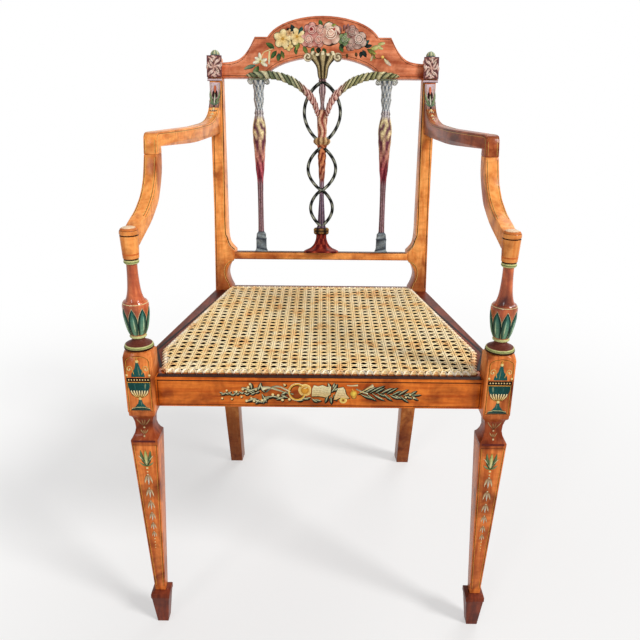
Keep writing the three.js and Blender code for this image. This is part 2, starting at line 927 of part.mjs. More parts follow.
function sideSplat() {
  const [low, high] = [shoeTop + turnedGap, crestBottom - turnedGap];
  const lean = (sideSplatTopPlace - sideSplatFootPlace) / (high - low);
  const leaning = new THREE.Matrix4().set(
    1, 0, lean, sideSplatFootPlace - lean * low,
    0, 1, 0, splatMiddle,
    0, 0, 1, 0,
    0, 0, 0, 1,
  );
  const upright = asGeometry(sideSplatBody(low, high));
  const tenons = [splatTenon(sideSplatTopPlace, crestBottom, 0), splatTenon(sideSplatFootPlace, shoeTop, 0)];
  return asGeometry(joined(moved(upright, leaning), ...tenons));
}

// Centre splat: capital, fluted stem, three looped bands and a bell foot, in the back's frame

const stemShares = [
  [0.95, 0],
  [0.9, 0.012],
  [0.6, 0.03],
  [0.4, 0.055],
  [0.31, 0.085],
  [0.3, 0.1],
  [0.42, 0.11],
  [0.42, 0.135],
  [0.28, 0.15],
  [0.22, 0.18],
  [0.18, 0.25],
  [0.125, 0.33],
  [0.135, 0.4],
  [0.2, 0.47],
  [0.23, 0.53],
  [0.25, 0.6],
  [0.36, 0.607],
  [0.47, 0.625],
  [0.47, 0.64],
  [0.36, 0.655],
  [0.24, 0.665],
  [0.29, 0.73],
  [0.31, 0.79],
  [0.16, 0.815],
  [0.11, 0.83],
  [0.19, 0.89],
  [0.16, 0.94],
  [0.21, 0.965],
  [0.21, 0.98],
  [0.24, 1],
];

function stem(grow) {
  const foot = shoeTop + turnedGap;
  const line = profileOf(stemRadius, foot, stemTop, stemShares).map(([radius, z]) => [radius + grow, z]);
  const lathe = turned([[0, foot], ...line, [0, stemTop]]);
  return lathe.scale(1, splatDepthShare, 1).translate(0, splatMiddle, 0);
}

const wideLoopBend = 0.62;
const smallLoopBend = 0.75;

// A looped band between two slope heights: two bowed lines whose ends meet on the stem
function loopedBand(low, high, halfWidth, bend) {
  const places = Array.from({ length: archSteps + 1 }, (_, i) => i / archSteps);
  const line = (offset) =>
    places.map((share) => {
      const bow = Math.max(0, Math.sin(Math.PI * share)) ** bend;
      return [halfWidth * bow + offset, low + (high - low) * share];
    });
  const outer = line(loopBand / 2);
  const inner = line(-loopBand / 2).filter(([x]) => x > loopBand / 2);
  const mirrored = (points) => points.map(([x, z]) => [-x, z]).reverse();
  const hole = [...inner, ...mirrored(inner)];
  return frontCut([...outer, ...mirrored(outer)], loopFront, loopFront + loopDepth, [hole]);
}

const capitalShares = [
  [0.26, 0],
  [0.33, 0.2],
  [0.5, 0.45],
  [0.82, 0.62],
  [1, 0.72],
  [0.97, 0.9],
  [0.62, 1],
  [0.3, 0.94],
];

const capitalVoluteShare = 0.72;

function capital() {
  const right = between([0, stemTop], [capitalHalfWidth, capitalTopHeight], capitalShares);
  const outline = [...right, ...right.map(([x, z]) => [-x, z]).reverse()];
  const nearCrest = crestRecess - turnedGap;
  const underArch = archTop - capitalVolute / 2;
  const behind = common(
    frontCut(outline, 0, capitalBack),
    block([-cutOverrun, cutOverrun], [-cutOverrun, cutOverrun], [0, underArch]),
  );
  const voluteHeight = stemTop + (capitalTopHeight - stemTop) * capitalVoluteShare;
  const volute = scroll(capitalVolute, -carvingProud, nearCrest).translate(capitalHalfWidth, 0, voluteHeight);
  const front = asSolid(frontCut(outline, -carvingProud, nearCrest));
  return front.add(onBothSides(asSolid(volute))).add(behind);
}

function centreSplat() {
  const slabReach = [splatMiddle - stemThickness / 2, splatMiddle + stemThickness / 2];
  const slab = block([-cutOverrun, cutOverrun], slabReach, [0, capitalTopHeight]);
  const loops = [
    loopedBand(firstLoopFoot, firstLoopTop, firstLoopHalf, wideLoopBend),
    loopedBand(crossing, secondLoopTop, secondLoopHalf, smallLoopBend),
    loopedBand(thirdLoopFoot, crossing, thirdLoopHalf, smallLoopBend),
  ];
  const footScroll = scroll(footScrollRadius, loopFront, loopFront + loopDepth);
  const footScrolls = onBothSides(asSolid(footScroll.translate(footScrollPlace, 0, footScrollHeight)));
  const tenons = [shoeTop, archTop].map((edge) => splatTenon(0, edge, 0));
  const body = common(stem(0), slab).add(joined(...loops, ...tenons)).add(footScrolls);
  return asGeometry(body.add(capital()));
}

// Plume: a leafy branch over the crest's lower edge that curls in and down to the stem

const plumeTopShares = [
  [1, 0.93],
  [0.92, 1],
  [0.72, 1],
  [0.56, 0.97],
  [0.42, 0.9],
  [0.3, 0.79],
  [0.2, 0.64],
  [0.12, 0.52],
  [0.06, 0.38],
  [0.03, 0.18],
];

const plumeUnderShares = [
  [0.04, 0],
  [0.085, 0.06],
  [0.115, 0.21],
  [0.165, 0.36],
  [0.24, 0.5],
  [0.33, 0.62],
  [0.43, 0.71],
  [0.55, 0.79],
  [0.68, 0.845],
  [0.85, 0.865],
  [0.96, 0.88],
];

function plume() {
  const corners = [[0, plumeRoot], [plumeReach, plumeTop]];
  const under = smooth(between(...corners, plumeUnderShares), archSteps);
  const top = smooth(between(...corners, plumeTopShares), archSteps);
  const plate = frontCut([...under, ...top], -carvingProud, crestRecess - turnedGap);
  return asGeometry(cut(asSolid(plate), stem(turnedGap)));
}

// Seat rails

const railEdgeShares = [0, 0.25, 0.5, 0.75, 1];

function frontRailSection() {
  const rounded = railEdgeShares.map((share) => {
    const angle = (share * Math.PI) / 2;
    return [
      frontRailSetback + railEdgeRadius * (1 - Math.sin(angle)),
      seatHeight - railEdgeRadius * (1 - Math.cos(angle)),
    ];
  });
  return [
    [frontRailSetback, railBottom],
    [frontRailBack, railBottom],
    [frontRailBack, lipBottom],
    [frontLipBack, lipBottom],
    [frontLipBack, seatHeight],
    ...rounded,
  ];
}

function frontRail() {
  const half = blockInner - fitGap;
  const bar = asSolid(sideCut(frontRailSection(), -half, half));
  return asGeometry(bar.add(onBothSides(asSolid(frontTenon(0)))));
}

function rearRail() {
  const lipFront = seatDepth + fitGap;
  const halfAt = (y) => postInnerAt(y) - fitGap;
  const web = skewedBar(halfAt(rearRailFront), rearRailFront, rearRailBack, railBottom, seatHeight);
  const lip = skewedBar(halfAt(lipFront), lipFront, rearRailBack, lipBottom, seatHeight);
  return asGeometry(joined(web, lip).add(onBothSides(asSolid(rearTenon(0)))));
}

// The half width of the line of cane holes at a place from front to back
function caneHalfAt(y) {
  const line = [
    [caneFrontLine, caneHalfFront],
    [caneFrontLine + caneNotchDepth, caneHalfFront],
    [caneWidestLine, caneHalfWidest],
    [caneRearLine, caneHalfRear],
  ];
  const next = Math.max(1, line.findIndex(([place], i) => i > 0 && place >= y));
  const [[y0, x0], [y1, x1]] = [line[next - 1], line[next]];
  return x0 + ((x1 - x0) * (y - y0)) / (y1 - y0);
}

function sideRail() {
  const reach = [-cutOverrun / 2, sideLength + cutOverrun / 2];
  const web = moved(block([-sideRailThickness, 0], reach, [railBottom, seatHeight]), sideFrame);
  const webMiddleAt = (y) => blockOuter - Math.tan(sideTurn) * (y - legBlock) - sideRailThickness / 2;
  const lipEnd = seatDepth - fitGap;
  const lipStart = frontLipBack + fitGap;
  const lipOutline = [
    [webMiddleAt(lipStart), lipStart],
    [webMiddleAt(lipEnd), lipEnd],
    [caneHalfAt(lipEnd) - lipMargin, lipEnd],
    [caneHalfWidest - lipMargin, caneWidestLine],
    [caneHalfAt(lipStart) - lipMargin, lipStart],
  ];
  const lip = planCut(lipOutline, lipBottom, seatHeight);
  const legSide = block([0, legSpread], [-cutOverrun, legBlock + fitGap], [0, seatHeight * 2]);
  const postSide = sideCut(postSideOutline(fitGap), 0, legSpread);
  const behindReach = [seatDepth + postDepthSeat / 2, seatDepth * 2];
  const behindPost = block([0, legSpread], behindReach, [0, seatHeight * 2]);
  const trimmed = cut(joined(web, lip), legSide, postSide, behindPost);
  return asGeometry(trimmed.add(joined(sideTenon(0, 0), sideTenon(sideLength, 0))));
}

// Caned panel: a flat net on the rails, whose square gaps stop short of the line of holes

function caneGaps() {
  const gapHalf = (netPitch - netStrand) / 2;
  const rows = Math.floor((caneRearLine - caneFrontLine - netStrand) / netPitch);
  const columns = Math.ceil(caneHalfWidest / netPitch);
  const firstRow = (caneFrontLine + caneRearLine - (rows - 1) * netPitch) / 2;
  const through = [seatHeight - cutOverrun, seatHeight + cutOverrun];
  const rowPlaces = Array.from({ length: rows }, (_, row) => firstRow + row * netPitch);
  const columnPlaces = Array.from({ length: columns * 2 + 1 }, (_, i) => (i - columns) * netPitch);
  return rowPlaces.flatMap((y) => {
    const room = Math.min(caneHalfAt(y - gapHalf), caneHalfAt(y + gapHalf)) - netStrand / 2;
    const inside = columnPlaces.filter((x) => Math.abs(x) + gapHalf < room);
    return inside.map((x) => block([x - gapHalf, x + gapHalf], [y - gapHalf, y + gapHalf], through));
  });
}

function canePanel() {
  const right = [
    [caneHalfFront + caneLap, caneFrontLine - caneLap],
    [caneHalfFront + caneLap, caneFrontLine + caneNotchDepth],
    [caneHalfWidest + caneLap, caneWidestLine],
    [caneHalfRear + caneLap, caneRearLine + caneLap],
  ];
  const left = right.map(([x, y]) => [-x, y]).reverse();
  const panel = asSolid(planCut([...right, ...left], seatHeight, seatHeight + caneThickness));
  return asGeometry(cut(panel, ...caneGaps()));
}

// Corner blocks inside the seat frame: each has a notch for the leg or post, and one screw that runs
// from the middle of its slanted face towards that leg or post.

const frontCorner = {
  rail: [blockInner - cornerReach, frontRailBack + fitGap],
  legSide: [blockInner - fitGap, frontRailBack + fitGap],
  notch: [blockInner - fitGap, legBlock + fitGap],
  aim: [blockInner, legBlock],
  reach: cornerReach,
};

const rearCorner = {
  rail: [postInnerSeat - cornerReach, rearRailFront - fitGap],
  legSide: [postInnerAt(rearRailFront) - fitGap, rearRailFront - fitGap],
  notch: [postInnerAt(rearRailFront) - fitGap, seatDepth - fitGap],
  aim: [postInnerSeat, seatDepth],
  reach: -cornerReach,
};

function sideWebInnerAt(y) {
  const inner = blockOuter - sideRailThickness / Math.cos(sideTurn);
  return inner - Math.tan(sideTurn) * (y - legBlock) - fitGap;
}

function cornerOutline(corner) {
  const nearY = corner.notch[1];
  const farY = nearY + corner.reach;
  const alongSideRail = [nearY, farY].map((y) => [sideWebInnerAt(y), y]);
  return [corner.rail, corner.legSide, corner.notch, ...alongSideRail];
}

function cornerHeights() {
  return [railBottom + cornerBlockRise, railBottom + cornerBlockRise + cornerBlockHeight];
}

function cornerLine(corner) {
  const outline = cornerOutline(corner);
  const [[x0, y0], [x1, y1]] = [outline[0], outline[outline.length - 1]];
  const [low, high] = cornerHeights();
  const start = new THREE.Vector3((x0 + x1) / 2, (y0 + y1) / 2, (low + high) / 2);
  const towards = new THREE.Vector3(corner.aim[0], corner.aim[1], start.z).sub(start);
  const square = new THREE.Vector3(y1 - y0, x0 - x1, 0).normalize();
  const along = square.multiplyScalar(Math.sign(square.dot(towards)));
  return { start, along, reach: towards.dot(along) };
}

function aimedFrame(start, along) {
  const turn = new THREE.Quaternion().setFromUnitVectors(axisZ, along);
  return new THREE.Matrix4().compose(start, turn, new THREE.Vector3(1, 1, 1));
}

function cornerFrame(corner) {
  const { start, along } = cornerLine(corner);
  return aimedFrame(start, along);
}

// A countersunk screw along +Z, its head a little below the face at the origin
function screw(length) {
  const neck = screwSink + screwHeadHeight;
  const head = [[0, screwSink], [screwHeadRadius, screwSink]];
  return turned([...head, [screwRadius, neck], [screwRadius, length], [0, length]], pinSides);
}

// The hole for such a screw, open at the face
function screwHole(length) {
  const neck = screwSink + screwHeadHeight + turnedGap;
  const [wide, narrow] = [screwHeadRadius + turnedGap, screwRadius + turnedGap];
  const deep = length + turnedGap;
  const mouth = [[0, -cutOverrun], [wide, -cutOverrun], [wide, screwSink + turnedGap]];
  return turned([...mouth, [narrow, neck], [narrow, deep], [0, deep]], pinSides);
}

function cornerScrewLength(corner) {
  return cornerLine(corner).reach + screwBite;
}

function cornerScrewHole(corner) {
  return moved(screwHole(cornerScrewLength(corner)), cornerFrame(corner));
}

function cornerBlock(corner) {
  const outline = cornerOutline(corner);
  const clockwise = THREE.ShapeUtils.isClockWise(outline.map(([x, y]) => new THREE.Vector2(x, y)));
  const ordered = clockwise ? outline.slice().reverse() : outline;
  return asGeometry(cut(asSolid(planCut(ordered, ...cornerHeights())), cornerScrewHole(corner)));
}

// The screw that holds each arm, through the post from behind

function postDepthAt(slope) {
  return postDepthSeat + (postDepthTop - postDepthSeat) * (slope / crownTop);
}

function armScrewFrame() {
  const start = new THREE.Vector3(armPostX, postDepthAt(armScrewHeight), armScrewHeight);
  return aimedFrame(start, axisY.clone().negate());
}

function armScrewLength() {
  return postDepthAt(armScrewHeight) + armScrewBite;
}

function armScrewHole() {
  return moved(screwHole(armScrewLength()), armScrewFrame());
}

// Assembly

function piece(name, geometry, material) {
  const mesh = new THREE.Mesh(geometry, material);
  mesh.name = name;
  return mesh;
}

function placed(mesh, frame) {
  mesh.applyMatrix4(frame);
  return mesh;
}

function frontCornerOfChair(side) {
  const corner = new THREE.Group();
  corner.position.set(legHalfSpread, legHalf, 0);
  corner.add(piece(`front_leg_${side}`, frontLeg(), satinwood()));
  corner.add(piece(`spade_foot_${side}`, spadeFoot(), darkFoot()));
  corner.add(piece(`baluster_${side}`, baluster(), satinwood()));
  return corner;
}

function armOfChair(side) {
  const arm = new THREE.Group();
  arm.applyMatrix4(armFrame);
  arm.add(piece(`arm_support_${side}`, armSupport(), satinwood()));
  arm.add(piece(`armrest_${side}`, armrest(), satinwood()));
  arm.add(piece(`elbow_dowel_${side}`, elbowDowel(0), beech()));
  return arm;
}

function backOfSide(side) {
  const back = new THREE.Group();
  back.applyMatrix4(backFrame);
  const top = piece(`finial_${side}`, finial(), greenPaint());
  top.position.set(crownMiddle, crownDepthMiddle, 0);
  back.add(top);
  back.add(piece(`side_splat_${side}`, sideSplat(), greyGreenPaint()));
  back.add(piece(`plume_${side}`, plume(), greenPaint()));
  back.add(placed(piece(`arm_screw_${side}`, screw(armScrewLength()), steel()), armScrewFrame()));
  return back;
}

function seatCorner(end, side, corner) {
  const both = new THREE.Group();
  both.add(piece(`corner_block_${end}_${side}`, cornerBlock(corner), beech()));
  const fixing = piece(`corner_screw_${end}_${side}`, screw(cornerScrewLength(corner)), steel());
  both.add(placed(fixing, cornerFrame(corner)));
  return both;
}

function sideOfChair(side) {
  const half = new THREE.Group();
  half.scale.x = side === "left" ? -1 : 1;
  half.add(frontCornerOfChair(side));
  half.add(armOfChair(side));
  half.add(backOfSide(side));
  half.add(piece(`back_post_${side}`, backPost(), satinwood()));
  half.add(piece(`side_rail_${side}`, sideRail(), darkSatinwood()));
  half.add(seatCorner("front", side, frontCorner));
  half.add(seatCorner("rear", side, rearCorner));
  return half;
}

function middleOfBack() {
  const back = new THREE.Group();
  back.applyMatrix4(backFrame);
  back.add(piece("crest_rail", crestRail(), darkSatinwood()));
  back.add(piece("shoe_rail", shoeRail(), satinwood()));
  back.add(piece("centre_splat", centreSplat(), rosePaint()));
  return back;
}

const chair = new THREE.Group();
chair.add(sideOfChair("left"));
chair.add(sideOfChair("right"));
chair.add(middleOfBack());
chair.add(piece("front_rail", frontRail(), satinwood()));
chair.add(piece("rear_rail", rearRail(), darkSatinwood()));
chair.add(piece("cane_seat", canePanel(), cane()));

// The origin is on the floor under the middle of the chair's box.
const bounds = new THREE.Box3().setFromObject(chair, true);
chair.position.y = -(bounds.min.y + bounds.max.y) / 2;

const group = new THREE.Group();
group.add(chair);

export default group;
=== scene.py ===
# %% [markdown]
# # A painted satinwood armchair
#
# This lesson dresses a finished model of an open armchair. Its seat is caned, its back is a row of
# carved splats under an arched crest rail, and nearly every surface carries painted flowers, urns or
# husks. The plain solids come first. Each later cell adds one kind of piece or one finish.

# %% Load the plain model
import math
import random

import bmesh
import bpy
from mathutils import Matrix, Vector


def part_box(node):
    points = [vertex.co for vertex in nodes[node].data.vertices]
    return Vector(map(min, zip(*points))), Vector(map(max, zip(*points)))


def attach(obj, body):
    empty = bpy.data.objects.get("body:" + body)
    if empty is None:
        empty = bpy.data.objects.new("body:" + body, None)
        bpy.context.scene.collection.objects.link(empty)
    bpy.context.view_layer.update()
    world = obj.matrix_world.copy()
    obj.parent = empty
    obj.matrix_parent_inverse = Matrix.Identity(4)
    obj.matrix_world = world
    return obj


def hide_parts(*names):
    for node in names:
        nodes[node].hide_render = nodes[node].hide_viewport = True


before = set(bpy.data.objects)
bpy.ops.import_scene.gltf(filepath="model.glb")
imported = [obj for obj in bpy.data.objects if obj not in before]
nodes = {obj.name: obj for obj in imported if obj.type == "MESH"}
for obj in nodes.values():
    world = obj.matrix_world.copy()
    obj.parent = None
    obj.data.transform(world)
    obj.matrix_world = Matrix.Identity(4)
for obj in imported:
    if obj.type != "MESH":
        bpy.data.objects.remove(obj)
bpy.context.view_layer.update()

# %% [markdown]
# ## Where things are
#
# The sizes below are in millimetres and are measured from the front of the leg blocks, because a
# chair maker measures that way. One function turns such a place into the metres of the scene.
# The back leans, so it has a frame of its own, and so have the arms, which run inwards to the back.

# %% Sizes and frames
MM = 0.001
BLOCK = 38
LEG_PLACE = (247.5, 19)
SEAT_HEIGHT = 431
SEAT_DEPTH = 409.5
RAKE = math.atan2(66.3, 388)
ARM_TOP = 750
ARM_WIDTH = 18.8
LEFT, RIGHT = -1, 1
SIDES = {"left": LEFT, "right": RIGHT}

shift_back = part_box("front_leg_left")[0].y / MM
to_scene = Matrix.Scale(MM, 4) @ Matrix.Translation((0, shift_back, 0))
back_frame = Matrix.Translation((0, SEAT_DEPTH, SEAT_HEIGHT)) @ Matrix.Rotation(-RAKE, 4, "X")


def mirrored(side):
    return Matrix.Scale(side, 4, (1, 0, 0))


def leg_frame(side):
    return mirrored(side) @ Matrix.Translation((*LEG_PLACE, 0))


arm_run = SEAT_DEPTH + math.tan(RAKE) * (ARM_TOP - SEAT_HEIGHT) - LEG_PLACE[1]
arm_inset = LEG_PLACE[0] - 196.65
arm_length = math.hypot(arm_run, arm_inset)


def arm_frame(side):
    turn = Matrix.Rotation(math.atan2(arm_inset, arm_run), 4, "Z")
    return leg_frame(side) @ turn


print("the leg blocks start at y =", round(shift_back, 2), "mm")

# %% [markdown]
# ## The camera
#
# The photograph was taken from a little above the crest, looking down at the seat. A lens of 38 mm
# from just over a metre away gives the same strong perspective, with the front legs leaning inwards.

# %% Camera
CAMERA_PLACE = (4.33, -835.6, 834.1)
CAMERA_PITCH, CAMERA_YAW, CAMERA_ROLL = 20.443, 0.247, 0.45
camera = bpy.data.objects.new("camera", bpy.data.cameras.new("camera"))
camera.data.lens = 37.94
camera.data.sensor_width = 36
camera.rotation_mode = "QUATERNION"
camera.location = to_scene @ Vector(CAMERA_PLACE)
look = Matrix.Rotation(math.radians(CAMERA_YAW), 3, "Z")
look = look @ Matrix.Rotation(math.radians(90 - CAMERA_PITCH), 3, "X")
look = look @ Matrix.Rotation(math.radians(CAMERA_ROLL), 3, "Z")
camera.rotation_quaternion = look.to_quaternion()
bpy.context.scene.collection.objects.link(camera)
bpy.context.scene.camera = camera
print("camera at", [round(v, 3) for v in camera.location])

# %% [markdown]
# ## Light and floor
#
# A soft lamp high on the right makes the bright sides and the long gleam of the polish, and a weaker
# one on the left keeps the shaded sides from going black. The floor is pale. The world is white only
# for the camera and for reflections, so the background stays clean while the light stays gentle.

# %% Light and floor
scene = bpy.context.scene
scene.view_settings.view_transform = "Standard"


def sun(name, place, strength, softness):
    """A lamp so far away that its light is even all over; place only gives its direction."""
    lamp = bpy.data.objects.new(name, bpy.data.lights.new(name, "SUN"))
    lamp.data.energy = strength
    lamp.data.angle = math.radians(softness)
    lamp.location = place
    lamp.rotation_mode = "QUATERNION"
    lamp.rotation_quaternion = (-Vector(place)).to_track_quat("-Z", "Y")
    scene.collection.objects.link(lamp)


sun("key_lamp", (1.9, -1.3, 1.8), 2.5, 16)
sun("fill_lamp", (-0.9, -1.6, 0.9), 0.45, 14)
sun("rim_lamp", (0.9, 1.7, 1.6), 0.7, 30)


def either_ray(tree, *names):
    path = tree.nodes.new("ShaderNodeLightPath")
    seen = path.outputs[names[0]]
    for other in names[1:]:
        larger = tree.nodes.new("ShaderNodeMath")
        larger.operation = "MAXIMUM"
        tree.links.new(seen, larger.inputs[0])
        tree.links.new(path.outputs[other], larger.inputs[1])
        seen = larger.outputs[0]
    return seen


def white_world():
    world = bpy.data.worlds.new("studio")
    world.use_nodes = True
    scene.world = world
    tree = world.node_tree
    background = tree.nodes["Background"]
    background.inputs["Color"].default_value = (1, 1, 1, 1)
    strength = tree.nodes.new("ShaderNodeMapRange")
    strength.inputs["To Min"].default_value = 0.36
    strength.inputs["To Max"].default_value = 1.0
    seen = either_ray(tree, "Is Camera Ray", "Is Glossy Ray", "Is Transmission Ray")
    tree.links.new(seen, strength.inputs["Value"])
    tree.links.new(strength.outputs["Result"], background.inputs["Strength"])


def pale_floor():
    shape = bmesh.new()
    bmesh.ops.create_grid(shape, x_segments=1, y_segments=1, size=9)
    mesh = bpy.data.meshes.new("floor")
    shape.to_mesh(mesh)
    shape.free()
    floor = bpy.data.objects.new("floor", mesh)
    scene.collection.objects.link(floor)
    material = bpy.data.materials.new("pale_floor")
    material.use_nodes = True
    tree = material.node_tree
    shader = tree.nodes["Principled BSDF"]
    shader.inputs["Base Color"].default_value = (0.8, 0.79, 0.78, 1)
    shader.inputs["Roughness"].default_value = 0.95
    shader.inputs["Specular IOR Level"].default_value = 0.0
    glow = tree.nodes.new("ShaderNodeEmission")
    blend_shader = tree.nodes.new("ShaderNodeMixShader")
    place = tree.nodes.new("ShaderNodeTexCoord")
    reach = tree.nodes.new("ShaderNodeVectorMath")
    reach.operation = "LENGTH"
    far = tree.nodes.new("ShaderNodeMapRange")
    far.inputs["From Min"].default_value = 0.3
    far.inputs["From Max"].default_value = 1.7
    far.inputs["To Min"].default_value = 0.45
    far.inputs["To Max"].default_value = 1.0
    far.interpolation_type = "SMOOTHSTEP"
    both = tree.nodes.new("ShaderNodeMath")
    both.operation = "MULTIPLY"
    tree.links.new(place.outputs["Object"], reach.inputs[0])
    tree.links.new(reach.outputs["Value"], far.inputs["Value"])
    tree.links.new(far.outputs["Result"], both.inputs[0])
    tree.links.new(either_ray(tree, "Is Camera Ray", "Is Glossy Ray"), both.inputs[1])
    tree.links.new(both.outputs[0], blend_shader.inputs["Fac"])
    tree.links.new(shader.outputs["BSDF"], blend_shader.inputs[1])
    tree.links.new(glow.outputs["Emission"], blend_shader.inputs[2])
    tree.links.new(blend_shader.outputs["Shader"], tree.nodes["Material Output"].inputs["Surface"])
    mesh.materials.append(material)


white_world()
pale_floor()

# %% [markdown]
# ## Finishes
#
# Satinwood is a golden, close-grained wood. Under old polish it turns orange, with darker streaks
# along the grain and a slow change of tone from place to place. Three noises make that: a stretched
# one for the streaks, a wide one for the tone and a fine one for the pores. The stretch follows the
# length of each piece, so every direction of grain is a material of its own.

# %% Shader helpers


def node_material(name, roughness, coat=0.0):
    material = bpy.data.materials.new(name)
    material.use_nodes = True
    shader = material.node_tree.nodes["Principled BSDF"]
    shader.inputs["Roughness"].default_value = roughness
    shader.inputs["Coat Weight"].default_value = coat
    shader.inputs["Coat Roughness"].default_value = 0.12
    return material, material.node_tree, shader


def noise(tree, stretch, detail=4.0, distortion=0.0):
    place = tree.nodes.new("ShaderNodeTexCoord")
    mapping = tree.nodes.new("ShaderNodeMapping")
    mapping.inputs["Scale"].default_value = stretch
    texture = tree.nodes.new("ShaderNodeTexNoise")
    texture.inputs["Scale"].default_value = 1.0
    texture.inputs["Detail"].default_value = detail
    texture.inputs["Distortion"].default_value = distortion
    tree.links.new(place.outputs["Object"], mapping.inputs["Vector"])
    tree.links.new(mapping.outputs["Vector"], texture.inputs["Vector"])
    return texture.outputs["Fac"]


def ramp(tree, value, stops):
    chart = tree.nodes.new("ShaderNodeValToRGB")
    elements = chart.color_ramp.elements
    while len(elements) < len(stops):
        elements.new(0.5)
    for element, (place, colour) in zip(elements, stops):
        element.position = place
        element.color = (*colour, 1)
    tree.links.new(value, chart.inputs["Fac"])
    return chart.outputs["Color"]


def mixed(tree, first, second, share=0.5, mode="MIX"):
    mix = tree.nodes.new("ShaderNodeMix")
    mix.data_type = "RGBA"
    mix.blend_type = mode
    for socket, value in ((mix.inputs["Factor"], share), (mix.inputs["A"], first), (mix.inputs["B"], second)):
        if hasattr(value, "links") or isinstance(value, bpy.types.NodeSocket):
            tree.links.new(value, socket)
        elif isinstance(value, tuple):
            socket.default_value = (*value, 1)
        else:
            socket.default_value = value
    return mix.outputs["Result"]


def bumped(tree, shader, height, strength, distance):
    bump = tree.nodes.new("ShaderNodeBump")
    bump.inputs["Strength"].default_value = strength
    bump.inputs["Distance"].default_value = distance
    tree.links.new(height, bump.inputs["Height"])
    tree.links.new(bump.outputs["Normal"], shader.inputs["Normal"])


def linear(red, green, blue):
    """A colour picked on a screen, as the shader wants it."""
    return tuple((c / 255) ** 2.2 for c in (red, green, blue))


print("shader helpers are ready")

# %% Wood
GRAIN_ALONG, GRAIN_ACROSS, FIGURE_SCALE, TONE_SCALE, PORE_SCALE = 12, 190, 90, 24, 1500


def wood(name, light, middle, dark, along, polish=0.3, coat=0.1):
    material, tree, shader = node_material(name, polish, coat)
    shader.inputs["Specular IOR Level"].default_value = 0.08
    across = [GRAIN_ACROSS] * 3
    across[along] = GRAIN_ALONG
    streaks = ramp(tree, noise(tree, across, 7, 0.4), [(0.36, middle), (0.62, light)])
    patch = [TONE_SCALE] * 3
    patch[along] = TONE_SCALE * 0.7
    smoky = ramp(tree, noise(tree, patch, 6, 1.0), [(0.46, (0, 0, 0)), (0.74, (1, 1, 1))])
    figure = [FIGURE_SCALE / 2.2] * 3
    figure[along] = FIGURE_SCALE
    ripple = ramp(tree, noise(tree, figure, 4, 1.2), [(0.34, (0.76, 0.68, 0.6)), (0.62, (1, 1, 1))])
    pores = [PORE_SCALE] * 3
    pores[along] = PORE_SCALE / 14
    fine = noise(tree, pores, 2)
    specks = ramp(tree, fine, [(0.32, (0.66, 0.54, 0.44)), (0.46, (1, 1, 1))])
    toned = mixed(tree, mixed(tree, streaks, dark, smoky), ripple, 0.85, "MULTIPLY")
    tree.links.new(mixed(tree, toned, specks, 0.35, "MULTIPLY"), shader.inputs["Base Color"])
    bumped(tree, shader, fine, 0.1, 0.0002)
    return material, tree, shader


def height_share(tree, low, high):
    """0 at one height of the object, 1 at another and even between them."""
    place = tree.nodes.new("ShaderNodeTexCoord")
    split = tree.nodes.new("ShaderNodeSeparateXYZ")
    share = tree.nodes.new("ShaderNodeMapRange")
    share.inputs["From Min"].default_value = low
    share.inputs["From Max"].default_value = high
    tree.links.new(place.outputs["Object"], split.inputs[0])
    tree.links.new(split.outputs["Z"], share.inputs["Value"])
    return share.outputs["Result"]


def painted_shade_by_height(made, shade, *shares):
    """Paints shade into a wood: darkens it by a shade where all the shares of height are 1."""
    material, tree, shader = made
    share = shares[0]
    for other in shares[1:]:
        both = tree.nodes.new("ShaderNodeMath")
        both.operation = "MULTIPLY"
        tree.links.new(share, both.inputs[0])
        tree.links.new(other, both.inputs[1])
        share = both.outputs[0]
    plain = shader.inputs["Base Color"].links[0].from_socket
    deeper = mixed(tree, plain, shade, 1.0, "MULTIPLY")
    tree.links.new(mixed(tree, plain, deeper, share), shader.inputs["Base Color"])
    return made


X_AXIS, Y_AXIS, Z_AXIS = 0, 1, 2
NECK_FOOT, NECK_TOP = 0.334, 0.3825
# The legs take honey, the front rail amber, and the seat rails, the rear rail and the feet umber. These are darker than
# the gold of the upper parts, partly for the wood's own tone and partly as painted shade on these lower parts.
gold = (linear(254, 172, 96), linear(236, 142, 70), linear(150, 64, 22))
honey = (linear(234, 138, 72), linear(198, 102, 48), linear(98, 34, 12))
amber = (linear(222, 122, 48), linear(190, 90, 30), linear(104, 38, 10))
russet = (linear(234, 148, 108), linear(208, 116, 78), linear(138, 58, 34))
cherry = (linear(218, 118, 70), linear(180, 82, 46), linear(80, 26, 16))
chestnut = (linear(186, 102, 60), linear(150, 72, 40), linear(82, 30, 18))
umber = (linear(128, 58, 34), linear(98, 42, 26), linear(54, 22, 16))
tan = (linear(206, 160, 108), linear(184, 134, 84), linear(142, 98, 58))
satinwood_upright = wood("satinwood_upright", *gold, Z_AXIS)[0]
satinwood_sideways = wood("satinwood_sideways", *gold, X_AXIS)[0]
satinwood_lengthways = wood("satinwood_lengthways", *gold, Y_AXIS)[0]
satinwood_turned = wood("satinwood_turned", *cherry, Z_AXIS, 0.16, 0.6)[0]
post = wood("post_wood", *gold, Z_AXIS)
# The posts are painted darker towards the floor and in a band round the height of the seat: painted shade on the rear
# legs and where the seat meets the posts.
painted_shade_by_height(post, (0.3, 0.2, 0.15), height_share(post[1], 0.4, 0.04))
painted_shade_by_height(post, (0.42, 0.3, 0.3), height_share(post[1], 0.5, 0.445), height_share(post[1], 0.38, 0.43))
post_wood = post[0]
leg = wood("leg_wood", *honey, Z_AXIS)
